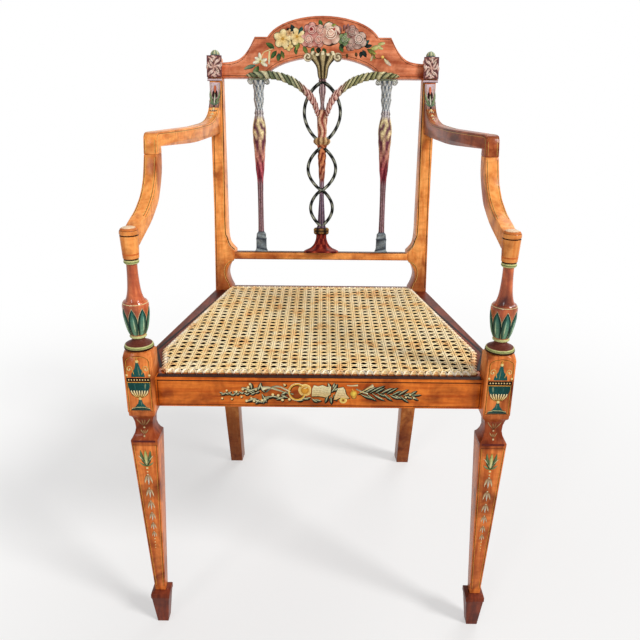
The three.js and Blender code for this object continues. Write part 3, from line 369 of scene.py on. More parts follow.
# The legs are painted a little darker towards the floor and much darker in the hollow of the neck: painted shade.
painted_shade_by_height(leg, (0.82, 0.72, 0.62), height_share(leg[1], 0.34, 0))
painted_shade_by_height(leg, (0.44, 0.3, 0.32), height_share(leg[1], NECK_TOP + 0.004, NECK_TOP - 0.012),
        height_share(leg[1], NECK_FOOT - 0.008, NECK_FOOT + 0.002))
leg_wood = leg[0]
front_rail_wood = wood("front_rail_wood", *amber, X_AXIS)[0]
# Only the right armrest takes this darker, redder wood, as painted shade; the left one takes the gold.
shaded_armrest_wood = wood("shaded_armrest_wood", *chestnut, Y_AXIS)[0]
crest_wood = wood("crest_wood", *russet, X_AXIS)[0]
dark_wood = wood("dark_wood", *umber, Y_AXIS, 0.42, 0.0)[0]
dark_wood_sideways = wood("dark_wood_sideways", *umber, X_AXIS, 0.42, 0.0)[0]
foot_wood = wood("foot_wood", *umber, Z_AXIS, 0.4, 0.1)[0]
plain_beech = wood("plain_beech", *tan, X_AXIS, 0.6, 0.0)[0]
print("woods:", [m.name for m in bpy.data.materials if "wood" in m.name])

# %% [markdown]
# ## Making a piece
#
# Every piece is worked in a small bmesh, in millimetres, in whatever frame suits it. At the end it is
# moved to its place, so that the finished object sits at the origin, as the plain pieces do.

# %% Piece helpers
SMOOTH_UNDER = math.radians(38)


def finished(name, shape, place, material, stands_for=(), smooth=SMOOTH_UNDER):
    whole = to_scene @ place
    shape.transform(whole)
    if whole.determinant() < 0:
        bmesh.ops.reverse_faces(shape, faces=shape.faces)
    mesh = bpy.data.meshes.new(name)
    shape.to_mesh(mesh)
    shape.free()
    mesh.polygons.foreach_set("use_smooth", [True] * len(mesh.polygons))
    mesh.set_sharp_from_angle(angle=smooth)
    piece = bpy.data.objects.new(name, mesh)
    for finish in material if isinstance(material, (list, tuple)) else [material]:
        mesh.materials.append(finish)
    scene.collection.objects.link(piece)
    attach(piece, "root")
    if stands_for:
        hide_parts(*stands_for)
    return piece


def outline_of(shape, points):
    corners = [shape.verts.new(point) for point in points]
    return corners, [shape.edges.new(pair) for pair in zip(corners, corners[1:])]


def spun(shape, profile, steps=64):
    """A turned form on the Z axis, from [radius, height] points that start and end on the axis."""
    corners, edges = outline_of(shape, [(radius, 0, height) for radius, height in profile])
    made = bmesh.ops.spin(shape, geom=corners + edges, axis=(0, 0, 1), cent=(0, 0, 0),
                          angle=math.tau, steps=steps, use_merge=True)
    bmesh.ops.remove_doubles(shape, verts=shape.verts, dist=0.0005)
    bmesh.ops.recalc_face_normals(shape, faces=shape.faces)
    return made


def squared(shape, profile):
    """A square form on the Z axis, from [half width, height] points."""
    spun(shape, [(half * math.sqrt(2), height) for half, height in profile], 4)
    bmesh.ops.rotate(shape, verts=shape.verts, cent=(0, 0, 0), matrix=Matrix.Rotation(math.pi / 4, 3, "Z"))


def slab(shape, outline, direction):
    """A flat board: its outline, pushed along a direction."""
    face = shape.faces.new([shape.verts.new(point) for point in outline])
    pushed = bmesh.ops.extrude_face_region(shape, geom=[face])
    moved = [part for part in pushed["geom"] if isinstance(part, bmesh.types.BMVert)]
    bmesh.ops.translate(shape, verts=moved, vec=direction)
    bmesh.ops.recalc_face_normals(shape, faces=shape.faces)


def eased(shape, width, segments=2, angle=0.5, shortest=0.0):
    """Rounds the sharp edges a little, as sandpaper does."""
    sharp = [edge for edge in shape.edges
             if edge.is_manifold and edge.calc_face_angle(0) > angle and edge.calc_length() > shortest]
    bmesh.ops.bevel(shape, geom=sharp, offset=width, offset_type="OFFSET", affect="EDGES",
                    segments=segments, profile=0.5, material=-1, clamp_overlap=True)


def curved(points, steps=14):
    """A smooth line through a few points of any dimension."""
    places = [Vector(p) for p in points]
    places = [places[0] * 2 - places[1], *places, places[-1] * 2 - places[-2]]
    line = []
    spans = len(places) - 3
    for step in range(steps + 1):
        along = min(spans - 1e-9, spans * step / steps)
        i, t = int(along), along - int(along)
        a, b, c, d = places[i:i + 4]
        line.append(0.5 * (2 * b + (c - a) * t + (2 * a - 5 * b + 4 * c - d) * t ** 2
                           + (3 * b - a - 3 * c + d) * t ** 3))
    return line


print("piece helpers are ready")

# %% [markdown]
# ## The square-cut pieces
#
# Posts, rails, legs, arms and the crest are cut from flat boards. Their plain solids already have the
# right shape, but their edges are knife sharp. Each is copied, its loose triangles are merged into
# whole faces again, and the edges get the small round that catches the light.

# %% Square-cut pieces
EDGE_ROUND = 0.0005
SHORTEST_EASED = 0.004


def eased_copy(node, material, width=EDGE_ROUND):
    shape = bmesh.new()
    shape.from_mesh(nodes[node].data)
    bmesh.ops.remove_doubles(shape, verts=shape.verts, dist=0.00002)
    bmesh.ops.dissolve_limit(shape, angle_limit=math.radians(1), verts=shape.verts, edges=shape.edges)
    eased(shape, width, 2, 0.6, SHORTEST_EASED)
    shape.transform(to_scene.inverted())
    return finished(f"{node}_wood", shape, Matrix.Identity(4), material, [node])


for side in SIDES:
    eased_copy(f"front_leg_{side}", leg_wood)
    eased_copy(f"spade_foot_{side}", foot_wood)
    # The right armrest gets the darker wood as painted shade.
    eased_copy(f"armrest_{side}", satinwood_lengthways if side == "left" else shaded_armrest_wood)
    eased_copy(f"back_post_{side}", post_wood)
    eased_copy(f"side_rail_{side}", dark_wood)
    for end in ("front", "rear"):
        eased_copy(f"corner_block_{end}_{side}", plain_beech)
eased_copy("crest_rail", crest_wood)
eased_copy("shoe_rail", satinwood_sideways)
eased_copy("front_rail", front_rail_wood)
eased_copy("rear_rail", dark_wood_sideways)

# %% Hidden fixings
worn_steel, steel_tree, steel_shader = node_material("worn_steel", 0.38)
steel_shader.inputs["Metallic"].default_value = 1.0
steel_tone = ramp(steel_tree, noise(steel_tree, (220,) * 3, 4),
                  [(0.35, linear(92, 86, 80)), (0.65, linear(150, 146, 140))])
steel_tree.links.new(steel_tone, steel_shader.inputs["Base Color"])
for name, node in nodes.items():
    if "screw" in name or "dowel" in name:
        node.material_slots[0].material = worn_steel if "screw" in name else plain_beech
print("fixings:", sum("screw" in n or "dowel" in n for n in nodes))

# %% [markdown]
# ## Paint
#
# Oil paint on a carved or flat surface is thick enough to have an edge. Each vertex of a painted piece
# carries its own colour in an attribute called paint, and one material reads it. A little noise makes
# the paint thin in places, the way two hundred years of dusting do.

# %% Painted material
def painted(name, polish=0.4, coat=0.0, worn=0.3, scale=420):
    material, tree, shader = node_material(name, polish, coat)
    shader.inputs["Specular IOR Level"].default_value = 0.06
    paint = tree.nodes.new("ShaderNodeAttribute")
    paint.attribute_name = "paint"
    brush = noise(tree, (scale,) * 3, 5, 0.8)
    thin = ramp(tree, brush, [(0.32, (1 - worn, 1 - worn * 1.1, 1 - worn * 1.3)), (0.62, (1, 1, 1))])
    tree.links.new(mixed(tree, paint.outputs["Color"], thin, 1.0, "MULTIPLY"), shader.inputs["Base Color"])
    bumped(tree, shader, brush, 0.25, 0.0003)
    return material


oil_paint = painted("oil_paint")
carved_paint = painted("carved_paint", 0.42, 0.0, 0.5, 340)
CREAM, PALE, GOLD = linear(236, 222, 176), linear(222, 214, 158), linear(222, 168, 70)
DARK, BLACK, PLUM = linear(52, 26, 18), linear(30, 22, 20), linear(92, 44, 42)
TEAL, BLUE_GREEN, GREEN = linear(40, 92, 88), linear(58, 84, 76), linear(84, 116, 62)
SAGE, YELLOW_GREEN = linear(150, 158, 120), linear(168, 170, 84)
PINK, ROSE, RED, MAUVE = linear(238, 190, 172), linear(206, 116, 104), linear(156, 46, 38), linear(158, 112, 112)
WHITE, GREY_BLUE, SLATE = linear(240, 236, 220), linear(150, 160, 168), linear(96, 104, 112)
BROWN, ORANGE, YELLOW = linear(112, 62, 36), linear(214, 112, 56), linear(240, 206, 116)


def blend(first, second, share):
    share = max(0.0, min(1.0, share))
    return tuple(a + (b - a) * share for a, b in zip(first, second))


def repainted(shape, colour_at):
    """Gives every vertex its colour from its place."""
    layer = shape.verts.layers.float_color.get("paint") or shape.verts.layers.float_color.new("paint")
    for vert in shape.verts:
        vert[layer] = (*colour_at(vert.co), 1)


def stepped(bands):
    """Colour by height: a list of [top height, colour], from the bottom up."""
    return lambda place: next((tone for top, tone in bands if place.z <= top), bands[-1][1])


print("paint colours are mixed")

# %% [markdown]
# ## Turned balusters
#
# A baluster is turned on a lathe: a dark fillet and a pale ring at the foot, a plum-coloured cove, a
# cup that will carry painted leaves, and a slim shaft up to the arm. Each run of its profile is a
# smooth curve, and the runs meet in crisp corners, which is what a turner's gouge and skew leave.

# %% Balusters
BALUSTER_RUNS = [
    [(0, 474.2), (20.0, 474.2)],
    [(20.1, 474.4), (20.2, 475.3), (20.0, 476.2)],
    [(18.8, 476.4), (19.4, 477.3), (19.3, 478.7), (18.3, 479.7)],
    [(17.7, 480.1), (13.0, 482.2), (9.6, 485.0), (8.4, 487.4), (8.7, 489.0)],
    [(10.6, 489.3), (11.5, 490.4), (11.4, 491.8), (10.3, 492.9)],
    [(10.3, 493.3), (13.2, 500), (15.6, 510.5), (17.2, 521.4), (17.8, 531), (17.7, 537), (15.4, 541.4)],
    [(13.2, 542.2), (11.2, 546.6), (9.3, 554.7), (8.1, 566), (7.35, 580), (7.2, 592.4)],
    [(9.0, 593.0), (10.0, 594.4), (10.1, 596.2), (9.5, 598.0)],
    [(9.7, 598.4), (9.8, 599.9)],
    [(5.5, 600), (0, 600)],
]
CUP_FOOT, CUP_TOP = 493.3, 541.4


def profile_of(runs, steps=10):
    line = []
    for run in runs:
        line += [tuple(p) for p in (curved(run, steps) if len(run) > 2 else run)]
    return [(max(0.0, r), z) for r, z in line]


def radius_at(runs, height):
    line = profile_of(runs)
    for (r0, z0), (r1, z1) in zip(line, line[1:]):
        if z0 <= height <= z1 and z1 > z0:
            return r0 + (r1 - r0) * (height - z0) / (z1 - z0)
    return line[-1][0]


def wood_between(shape, ranges):
    """Faces inside the height ranges take the first material, all others the second."""
    for face in shape.faces:
        height = face.calc_center_median().z
        face.material_index = 0 if any(low < height < high for low, high in ranges) else 1


RING_GREEN = linear(198, 196, 134)
BALUSTER_BANDS = [(476.3, DARK), (477.6, RING_GREEN), (478.8, GREEN), (479.9, RING_GREEN), (489.1, linear(104, 56, 46)),
                  (493.1, RING_GREEN), (592.6, ORANGE), (595.2, RING_GREEN), (596.2, GREEN), (598.2, RING_GREEN), (601, DARK)]
for name, side in SIDES.items():
    shape = bmesh.new()
    spun(shape, profile_of(BALUSTER_RUNS))
    wood_between(shape, [(CUP_FOOT - 0.2, 592.6)])
    repainted(shape, stepped(BALUSTER_BANDS))
    finished(f"turned_baluster_{name}", shape, leg_frame(side), [satinwood_turned, oil_paint],
             [f"baluster_{name}"])
print("baluster height", CUP_FOOT, "to", CUP_TOP, "carries the leaves")

# %% [markdown]
# ## Arm supports
#
# The terminal over the baluster and the sweep up to the elbow are one piece of wood. The terminal is
# turned first, and the sweep is sawn with a flat board's sides, then its edges are rounded over.

# %% Arm supports
TERMINAL_RUNS = [
    [(0, 600.2), (10.4, 600.2)],
    [(10.6, 600.6), (11.3, 614), (12.2, 630.2)],
    [(11.7, 630.5), (11.7, 631.6)],
    [(12.3, 632), (12.5, 634), (12.2, 636.6)],
    [(11.7, 637.1), (10.4, 639.4), (7.4, 641.2), (3.4, 641.9), (0, 642)],
]


def between(start, end, shares):
    return [(start[0] + (end[0] - start[0]) * a, start[1] + (end[1] - start[1]) * b) for a, b in shares]


SUPPORT_FRONT = between((0, 642), (98, 721), [
    (0.05, -0.07), (0.3, 0.05), (0.48, 0.14), (0.62, 0.245), (0.74, 0.36), (0.885, 0.6), (1, 1)])
SUPPORT_BACK = between((10, 615), (118.5, 721), [
    (1, 1), (0.955, 0.742), (0.79, 0.444), (0.64, 0.315), (0.44, 0.19), (0.15, 0.066), (0, 0)])
support_front = curved(SUPPORT_FRONT, 24)
support_back = curved(SUPPORT_BACK, 24)
# The topmost bands paint the terminal's cap pale: a pale roundel with a painted highlight on it.
TERMINAL_BANDS = [(602.6, ORANGE), (603.5, DARK), (605.4, ORANGE), (606.2, DARK), (629.8, ORANGE),
                  (631.6, DARK), (636.7, ORANGE), (637.6, DARK), (640.2, linear(206, 118, 62)), (643, linear(240, 206, 170))]
for name, side in SIDES.items():
    shape = bmesh.new()
    outline = [*support_back, Vector((0, 615)), *support_front]
    slab(shape, [(-ARM_WIDTH / 2, y, z) for y, z in outline], (ARM_WIDTH, 0, 0))
    eased(shape, 0.9, 3, 0.9)
    turning = bmesh.new()
    spun(turning, profile_of(TERMINAL_RUNS, 12), 48)
    repainted(turning, stepped(TERMINAL_BANDS))
    wood_between(turning, [(600, 602.7), (603.6, 605.3), (606.3, 629.8), (631.6, 637)])
    spare = bpy.data.meshes.new("turning")
    turning.to_mesh(spare)
    shape.from_mesh(spare)
    bpy.data.meshes.remove(spare)
    finished(f"swept_support_{name}", shape, arm_frame(side), [satinwood_upright, oil_paint],
             [f"arm_support_{name}"])
print("arm supports swept to", SUPPORT_FRONT[-1])

# %% [markdown]
# ## Finials
#
# Each crown block ends in a small painted cap: a dark blue band under a green and cream dome.

# %% Finials
CROWN_MIDDLE, CROWN_DEPTH = 197.2, 7.5
FINIAL_RUNS = [
    [(0, 427.3), (11, 427.3)],
    [(11, 427.5), (11.1, 428.7), (10.8, 429.9)],
    [(9.7, 430.4), (9.6, 431.4)],
    [(8.2, 431.9), (8.6, 433.2), (8.4, 434.8), (7.2, 437.2), (5.0, 439.6), (2.4, 441), (0, 441.3)],
]


def finial_tone(place):
    if place.z < 430.1:
        return PALE
    if place.z < 431.7:
        return linear(44, 58, 92)
    lobes = 0.5 + 0.5 * math.cos(8 * math.atan2(place.y, place.x))
    return blend(linear(96, 132, 110), CREAM, lobes * 0.75)


for name, side in SIDES.items():
    shape = bmesh.new()
    spun(shape, profile_of(FINIAL_RUNS, 10), 48)
    repainted(shape, finial_tone)
    place = mirrored(side) @ back_frame @ Matrix.Translation((CROWN_MIDDLE, CROWN_DEPTH, 0))
    finished(f"domed_finial_{name}", shape, place, oil_paint, [f"finial_{name}"])
print("finials", FINIAL_RUNS[-1][-1])

# %% [markdown]
# ## Carved splats
#
# The splats were turned or sawn first and then carved. A carving here is a turned form whose radius
# and colour follow two things, the angle around it and the height: reeds repeat around, leaves lean,
# and swirls climb. So one function per splat says how deep the cut is, and another how it is painted.

# %% Carved turnings
SPLAT_MIDDLE, SPLAT_SQUASH = 9, 0.75
SHOE_TOP, CREST_FOOT = 73.8, 392.5
SPLAT_TOP_PLACE, SPLAT_FOOT_PLACE = 118.3, 114.8


def carved_turning(runs, cut, tone, steps=56, fine=14):
    shape = bmesh.new()
    spun(shape, profile_of(runs, fine), steps)
    layer = shape.verts.layers.float_color.new("paint")
    for vert in shape.verts:
        angle, height = math.atan2(vert.co.y, vert.co.x), vert.co.z
        vert[layer] = (*tone(angle, height), 1)
        push = 1 + cut(angle, height)
        vert.co.x *= push
        vert.co.y *= push * SPLAT_SQUASH
    return shape


def ridge(value):
    """0 in a groove, 1 on a ridge, once per whole number."""
    return 0.5 - 0.5 * math.cos(math.tau * value)


def within(height, low, high, soft=3.0):
    return max(0.0, min(1.0, (height - low) / soft, (high - height) / soft))


SIDE_RUNS = [
    [(0, 112), (5.6, 112)],
    [(5.8, 113), (5.5, 130), (5.4, 152), (5.4, 172), (5.5, 186)],
    [(5.5, 187), (6.0, 200), (8.2, 228), (10.2, 252), (12.2, 280), (12.8, 296), (11.9, 310), (8.4, 326)],
    [(7.8, 327.2), (9.2, 329.5), (9.2, 332), (8.0, 334)],
    [(7.6, 334.6), (7.9, 340), (10.0, 351), (10.6, 360), (10.3, 370), (11.2, 378), (13.4, 384), (14, 388)],
    [(12, 388.4), (0, 388.4)],
]


def scales(turn, height, count, tall):
    """Rows of small upright leaves, each row half a leaf aside: 1 on a leaf's rib, 0 between leaves."""
    row = math.floor(height / tall)
    share = (height / tall) % 1
    off = abs(((count * turn + 0.5 * row) % 1) - 0.5) * 2
    return max(0.0, 1 - (off / (1.05 - 0.75 * share)) ** 2) * (0.35 + 0.65 * share)


def swirls(angle, height, tall):
    """Leaves that curl up round the form: 1 along a leaf's back, 0 in the cuts between them."""
    return ridge(height / tall + 0.55 * math.sin(2 * angle + height / 8))


def side_cut(angle, height):
    turn = angle / math.tau
    deep = -0.16 * (1 - ridge(8 * turn)) * within(height, 114, 190)
    deep -= 0.14 * (1 - swirls(angle, height, 11)) * within(height, 192, 324, 8)
    deep -= 0.2 * (1 - scales(turn, height, 8, 10)) * within(height, 336, 388)
    return deep - 0.12 * (1 - ridge(height / 1.6)) * within(height, 327, 334, 1)


def side_tone(angle, height):
    turn = angle / math.tau
    if height < 203:
        return blend(linear(80, 54, 64), linear(176, 140, 146), ridge(8 * turn))
    if height < 326:
        share = (height - 232) / 84
        ground = blend(linear(104, 24, 46), linear(104, 62, 84), share)
        lit = blend(linear(226, 116, 126), linear(250, 230, 176), share * 1.3)
        return blend(ground, lit, swirls(angle, height, 11) ** 1.4)
    if height < 336:
        return blend(linear(120, 108, 120), linear(228, 222, 222), ridge(10 * turn))
    return blend(linear(96, 108, 124), linear(248, 250, 246), scales(turn, height, 8, 10) ** 0.7)


def splat_lean(side):
    lean = (SPLAT_TOP_PLACE - SPLAT_FOOT_PLACE) / (CREST_FOOT - SHOE_TOP)
    slant = Matrix(((1, 0, lean, SPLAT_FOOT_PLACE - lean * SHOE_TOP), (0, 1, 0, SPLAT_MIDDLE),
                    (0, 0, 1, 0), (0, 0, 0, 1)))
    return mirrored(side) @ back_frame @ slant


def added(shape, other):
    spare = bpy.data.meshes.new("spare")
    other.to_mesh(spare)
    other.free()
    shape.from_mesh(spare)
    bpy.data.meshes.remove(spare)


def coiled(centre, radius, near, far, turns, hand, tone):
    """A scroll seen end on: a disc turned on the lathe, whose face is then lowered along a spiral."""
    shape = bmesh.new()
    spun(shape, [*[(radius * ring / 9, 0) for ring in range(10)], (radius, 1), (0, 1)], 36)
    layer = shape.verts.layers.float_color.new("paint")
    for vert in shape.verts:
        angle, reach = math.atan2(vert.co.y, vert.co.x), math.hypot(vert.co.x, vert.co.y) / radius
        height = ridge(reach * turns + hand * angle / math.tau) if vert.co.z < 0.5 else 0
        depth = near + (1 - height) * 1.1 if vert.co.z < 0.5 else far
        vert[layer] = (*blend(tone[0], tone[1], height), 1)
        vert.co = (centre[0] + vert.co.x, depth, centre[1] + vert.co.y)
    bmesh.ops.recalc_face_normals(shape, faces=shape.faces)
    return shape


def side_foot():
    shape = bmesh.new()
    squared(shape, [(0, 74.1), (11.4, 74.1), (11.4, 76.6), (10.2, 78), (9.4, 82), (9.2, 96), (9.8, 99),
                    (8.8, 101), (8.4, 108), (5, 113), (0, 113)])
    bmesh.ops.scale(shape, vec=(1, SPLAT_SQUASH, 1), verts=shape.verts)
    eased(shape, 0.5, 2, 0.4)
    repainted(shape, lambda p: blend(linear(50, 56, 68), linear(168, 180, 186), ridge(p.z / 9 + p.x / 12) ** 3 * 0.8))
    return shape


def side_cap():
    shape = bmesh.new()
    top, foot, half, deep = CREST_FOOT - 0.3, CREST_FOOT - 4.4, 15.6, 6.4
    slab(shape, [(-half, -deep, foot), (half, -deep, foot), (half + 1, -deep, top), (-half - 1, -deep, top)],
         (0, 2 * deep, 0))
    eased(shape, 0.6, 2, 0.4)
    repainted(shape, lambda p: blend(linear(158, 168, 140), WHITE, ridge(p.x / 5)))
    return shape


SCROLL_TONES = (linear(112, 120, 126), linear(246, 246, 238))
for name, side in SIDES.items():
    shape = carved_turning(SIDE_RUNS, side_cut, side_tone)
    for part in (side_foot(), side_cap(),
                 coiled((-15.3, 387.2), 5, -6.7, 6.4, 2.2, 1, SCROLL_TONES),
                 coiled((15.3, 387.2), 5, -6.7, 6.4, 2.2, -1, SCROLL_TONES)):
        added(shape, part)
    finished(f"carved_splat_{name}", shape, splat_lean(side), carved_paint, [f"side_splat_{name}"])
print("side splats stand from", SHOE_TOP, "to", CREST_FOOT)

# %% [markdown]
# ## Centre splat
#
# One carved stem runs up the middle, through three looped bands. From the foot up it is a flaring
# bell, a double scroll, reeds, climbing swirls, a gold collar, flame-shaped leaves and a fluted
# capital. Its radius is a run of curves again, and the same two functions cut and paint it.

# %% Stem of the centre splat
STEM_RUNS = [
    [(0, 74.1), (34, 74.1)],
    [(34, 74.4), (31.5, 77.6), (22, 82), (15, 89), (11.2, 98), (10.2, 106)],
    [(10.5, 107), (14, 109.6), (14.2, 117), (12.6, 119.4)],
    [(8.8, 121), (7.4, 128), (7.3, 134), (6.3, 152), (4.6, 180), (4.5, 200)],
    [(4.6, 204), (6.6, 228), (7.9, 250), (8.4, 266), (9.4, 273)],
    [(12.4, 275), (16, 278.5), (16, 283), (12.4, 287)],
    [(8.2, 288), (9.6, 310), (10.5, 332), (8.2, 336)],
    [(5.4, 338), (3.6, 346), (5.4, 362), (6.9, 371), (5.8, 380)],
    [(6.4, 386), (7.4, 388.5), (7.2, 391), (5.6, 394)],
    [(4, 394.4), (0, 394.4)],
]


def stem_cut(angle, height):
    turn = angle / math.tau
    deep = -0.1 * (1 - ridge(8 * turn)) * within(height, 76, 107)
    deep -= 0.14 * (1 - ridge(8 * turn)) * within(height, 122, 200)
    deep -= 0.15 * (1 - swirls(angle, height, 12)) * within(height, 206, 272, 6)
    deep -= 0.14 * (1 - ridge(9 * turn)) * within(height, 275, 287, 2)
    deep -= 0.22 * (1 - ridge(5 * turn + 0.3 * math.sin(height / 7))) * within(height, 289, 336, 4)
    return deep - 0.14 * (1 - ridge(7 * turn)) * within(height, 340, 398, 4)


def stem_tone(angle, height):
    turn = angle / math.tau
    if height < 108:
        return blend(linear(96, 24, 24), linear(204, 84, 62), scales(turn, height, 8, 11))
    if height < 120:
        return blend(BLACK, linear(190, 140, 84), ridge(height / 6) * ridge(6 * turn))
    if height < 182:
        return blend(linear(66, 52, 76), linear(146, 122, 138), ridge(8 * turn))
    if height < 206:
        return blend(linear(84, 62, 84), linear(176, 150, 160), ridge(8 * turn))
    if height < 274:
        warm = blend(linear(150, 78, 84), linear(226, 116, 62), (height - 206) / 40)
        return blend(linear(110, 34, 28), blend(warm, CREAM, 0.2), swirls(angle, height, 12) * 1.1)
    if height < 288:
        return blend(linear(112, 70, 44), linear(224, 186, 136), ridge(9 * turn))
    if height < 337:
        flames = ridge(5 * turn + 0.3 * math.sin(height / 7))
        return blend(linear(140, 54, 48), linear(246, 200, 168), flames ** 1.1)
    return blend(linear(84, 56, 66), linear(206, 178, 178), ridge(7 * turn))


centre = carved_turning(STEM_RUNS, stem_cut, stem_tone, 72, 16)
for vert in centre.verts:
    vert.co.y += SPLAT_MIDDLE
FOOT_TONES = (DARK, linear(226, 176, 88))
for hand in (LEFT, RIGHT):
    added(centre, coiled((hand * 10, 116), 4.6, 3.6, 14, 1.6, hand, FOOT_TONES))
print("stem has", len(centre.faces), "faces")

# %% [markdown]
# ## A bar to bend
#
# Bands, cane strands and strokes of paint are all slim closed bars that follow a line. A straight bar
# is made once for each number of sides and rings, by pushing a disc forward ring by ring. A piece then
# takes a copy of it and says where each corner of each ring goes, and what colour it has there.

# %% A bar to bend
straight_bars = {}


def straight_bar(sides, rings):
    if (sides, rings) not in straight_bars:
        shape = bmesh.new()
        shape.verts.layers.float_color.new("paint")
        bmesh.ops.create_circle(shape, cap_ends=True, radius=1, segments=sides)
        tip = shape.faces[:]
        for ring in range(1, rings):
            pushed = bmesh.ops.extrude_face_region(shape, geom=tip)["geom"]
            corners = [part for part in pushed if isinstance(part, bmesh.types.BMVert)]
            bmesh.ops.translate(shape, verts=corners, vec=(0, 0, 1))
            tip = [part for part in pushed if isinstance(part, bmesh.types.BMFace)]
        straight_bars[sides, rings] = bpy.data.meshes.new("straight_bar")
        shape.to_mesh(straight_bars[sides, rings])
        shape.free()
    return straight_bars[sides, rings]


def bent(shape, sides, rings, corner, tone):
    """Adds a bar to a shape, each corner moved to corner(ring, side) and painted tone(ring, side)."""
    known = len(shape.verts)
    shape.from_mesh(straight_bar(sides, rings), face_normals=False)
    layer = shape.verts.layers.float_color["paint"]
    shape.verts.ensure_lookup_table()
    corners = shape.verts[known:]
    first = math.atan2(corners[0].co.y, corners[0].co.x)
    for vert in corners:
        turn = (math.atan2(vert.co.y, vert.co.x) - first) / math.tau
        ring, side = round(vert.co.z), round(turn * sides) % sides
        vert.co = corner(ring, side)
        vert[layer] = (*tone(ring, side), 1)


def closed_bar(sides, rings, corner, tone):
    """A bar whose last ring meets its first."""
    shape = bmesh.new()
    bent(shape, sides, rings + 1, lambda ring, side: corner(ring % rings, side),
         lambda ring, side: tone(ring % rings, side))
    ends = [face for face in shape.faces if len(face.verts) == sides]
    bmesh.ops.delete(shape, geom=ends, context="FACES_ONLY")
    bmesh.ops.remove_doubles(shape, verts=shape.verts, dist=0.0005)
    bmesh.ops.recalc_face_normals(shape, faces=shape.faces)
    return shape


print("a stroke's bar has", len(straight_bar(5, 7).polygons), "faces")

# %% Looped bands
# Each band is a closed ribbon. Its leaves lean along it, pale in the middle and nearly black at the
# edges, so the band seems to twist as it goes round.
LOOPS = [(280, 386, 33.5, 0.62), (191, 270, 26, 0.75), (124, 191, 20.7, 0.75)]
LOOP_HALF, LOOP_NEAR, LOOP_FAR, LOOP_LEAF = 2.9, 4.5, 13.5, 19


def loop_line(low, high, half, bend, steps=64):
    right = [Vector((half * max(0.0, math.sin(math.pi * i / steps)) ** bend, low + (high - low) * i / steps))
             for i in range(steps + 1)]
    return right + [Vector((-p.x, p.y)) for p in reversed(right[1:-1])]


def evenly(line, count):
    """The same closed line with its points spaced evenly."""
    closed = [*line, line[0]]
    lengths = [0.0]
    for a, b in zip(closed, closed[1:]):
        lengths.append(lengths[-1] + (b - a).length)
    places, k = [], 0
    for i in range(count):
        goal = lengths[-1] * i / count
        while lengths[k + 1] < goal:
            k += 1
        places.append(closed[k].lerp(closed[k + 1], (goal - lengths[k]) / (lengths[k + 1] - lengths[k])))
    return places, lengths[-1]


LOOP_SECTION = [(-1, 0.12), (-0.72, -0.02), (-0.3, -0.1), (0, -0.12), (0.3, -0.1), (0.72, -0.02), (1, 0.12),
                (1, 0.9), (0.8, 1), (-0.8, 1), (-1, 0.9)]


def loop_tone(along, across, low):
    leaf = (along / LOOP_LEAF + 0.3 * across) % 1
    pale = within(leaf, 0.0, 0.75, 0.3) * within(across, -0.7, 0.95, 0.5) * (0.35 + 0.75 * low)
    light = blend(linear(84, 96, 92), linear(224, 226, 206), leaf * 1.2)
    return blend(linear(20, 22, 21), light, pale * 1.3)


def looped(low, high, half, bend):
    line, length = evenly(loop_line(low, high, half, bend), 150)
    count = len(line)

    def corner(ring, side):
        ahead = (line[(ring + 1) % count] - line[ring - 1]).normalized()
        across, depth = LOOP_SECTION[side]
        spot = line[ring] + Vector((ahead.y, -ahead.x)) * across * LOOP_HALF
        leaf = (length * ring / count / LOOP_LEAF + 0.22 * across) % 1
        relief = 0.6 * within(leaf, 0, 1, 0.3) if depth < 0.1 else 0
        return Vector((spot.x, LOOP_NEAR + (LOOP_FAR - LOOP_NEAR) * depth - relief, spot.y))

    def tone(ring, side):
        across, depth = LOOP_SECTION[side]
        return loop_tone(length * ring / count, across, abs(1 - 2 * ring / count)) if depth < 0.5 else BROWN

    return closed_bar(len(LOOP_SECTION), count, corner, tone)


for loop in LOOPS:
    added(centre, looped(*loop))
print("loops:", [loop[:2] for loop in LOOPS])

# %% Fluted capital
# A closed form made from a sheet of small squares. The sheet is thickened, its front is moved out to a
# skin, and its back is flattened and dissolved into one face.


def shell(front, back, tone, rows, columns):
    shape = bmesh.new()
    layer = shape.verts.layers.float_color.new("paint")
    bmesh.ops.create_grid(shape, x_segments=columns, y_segments=rows, size=1)
    pushed = bmesh.ops.extrude_face_region(shape, geom=shape.faces[:])["geom"]
    skin = {part for part in pushed if isinstance(part, bmesh.types.BMVert)}
    for vert in shape.verts:
        t, a = 0.5 + 0.5 * vert.co.y, vert.co.x
        place = front(t, a)
        vert[layer] = (*tone(t, a), 1)
        vert.co = place if vert in skin else (place.x, back, place.z)
    flat = [face for face in shape.faces if not any(vert in skin for vert in face.verts)]
    bmesh.ops.dissolve_faces(shape, faces=flat)
    bmesh.ops.remove_doubles(shape, verts=shape.verts, dist=0.0005)
    bmesh.ops.dissolve_degenerate(shape, dist=0.0005, edges=shape.edges)
    bmesh.ops.recalc_face_normals(shape, faces=shape.faces)
    return shape


CAPITAL_FOOT, CAPITAL_TOP = 392.5, 438.5
CAPITAL_HALVES = [(0, 7.4), (0.12, 9), (0.26, 9.8), (0.42, 10.6), (0.57, 13), (0.72, 17.4), (0.85, 23), (0.94, 25), (1, 22)]
capital_side = curved(CAPITAL_HALVES, 30)


def capital_half(t):
    index = min(len(capital_side) - 2, int(t * (len(capital_side) - 1)))
    share = t * (len(capital_side) - 1) - index
    return capital_side[index].lerp(capital_side[index + 1], share).y


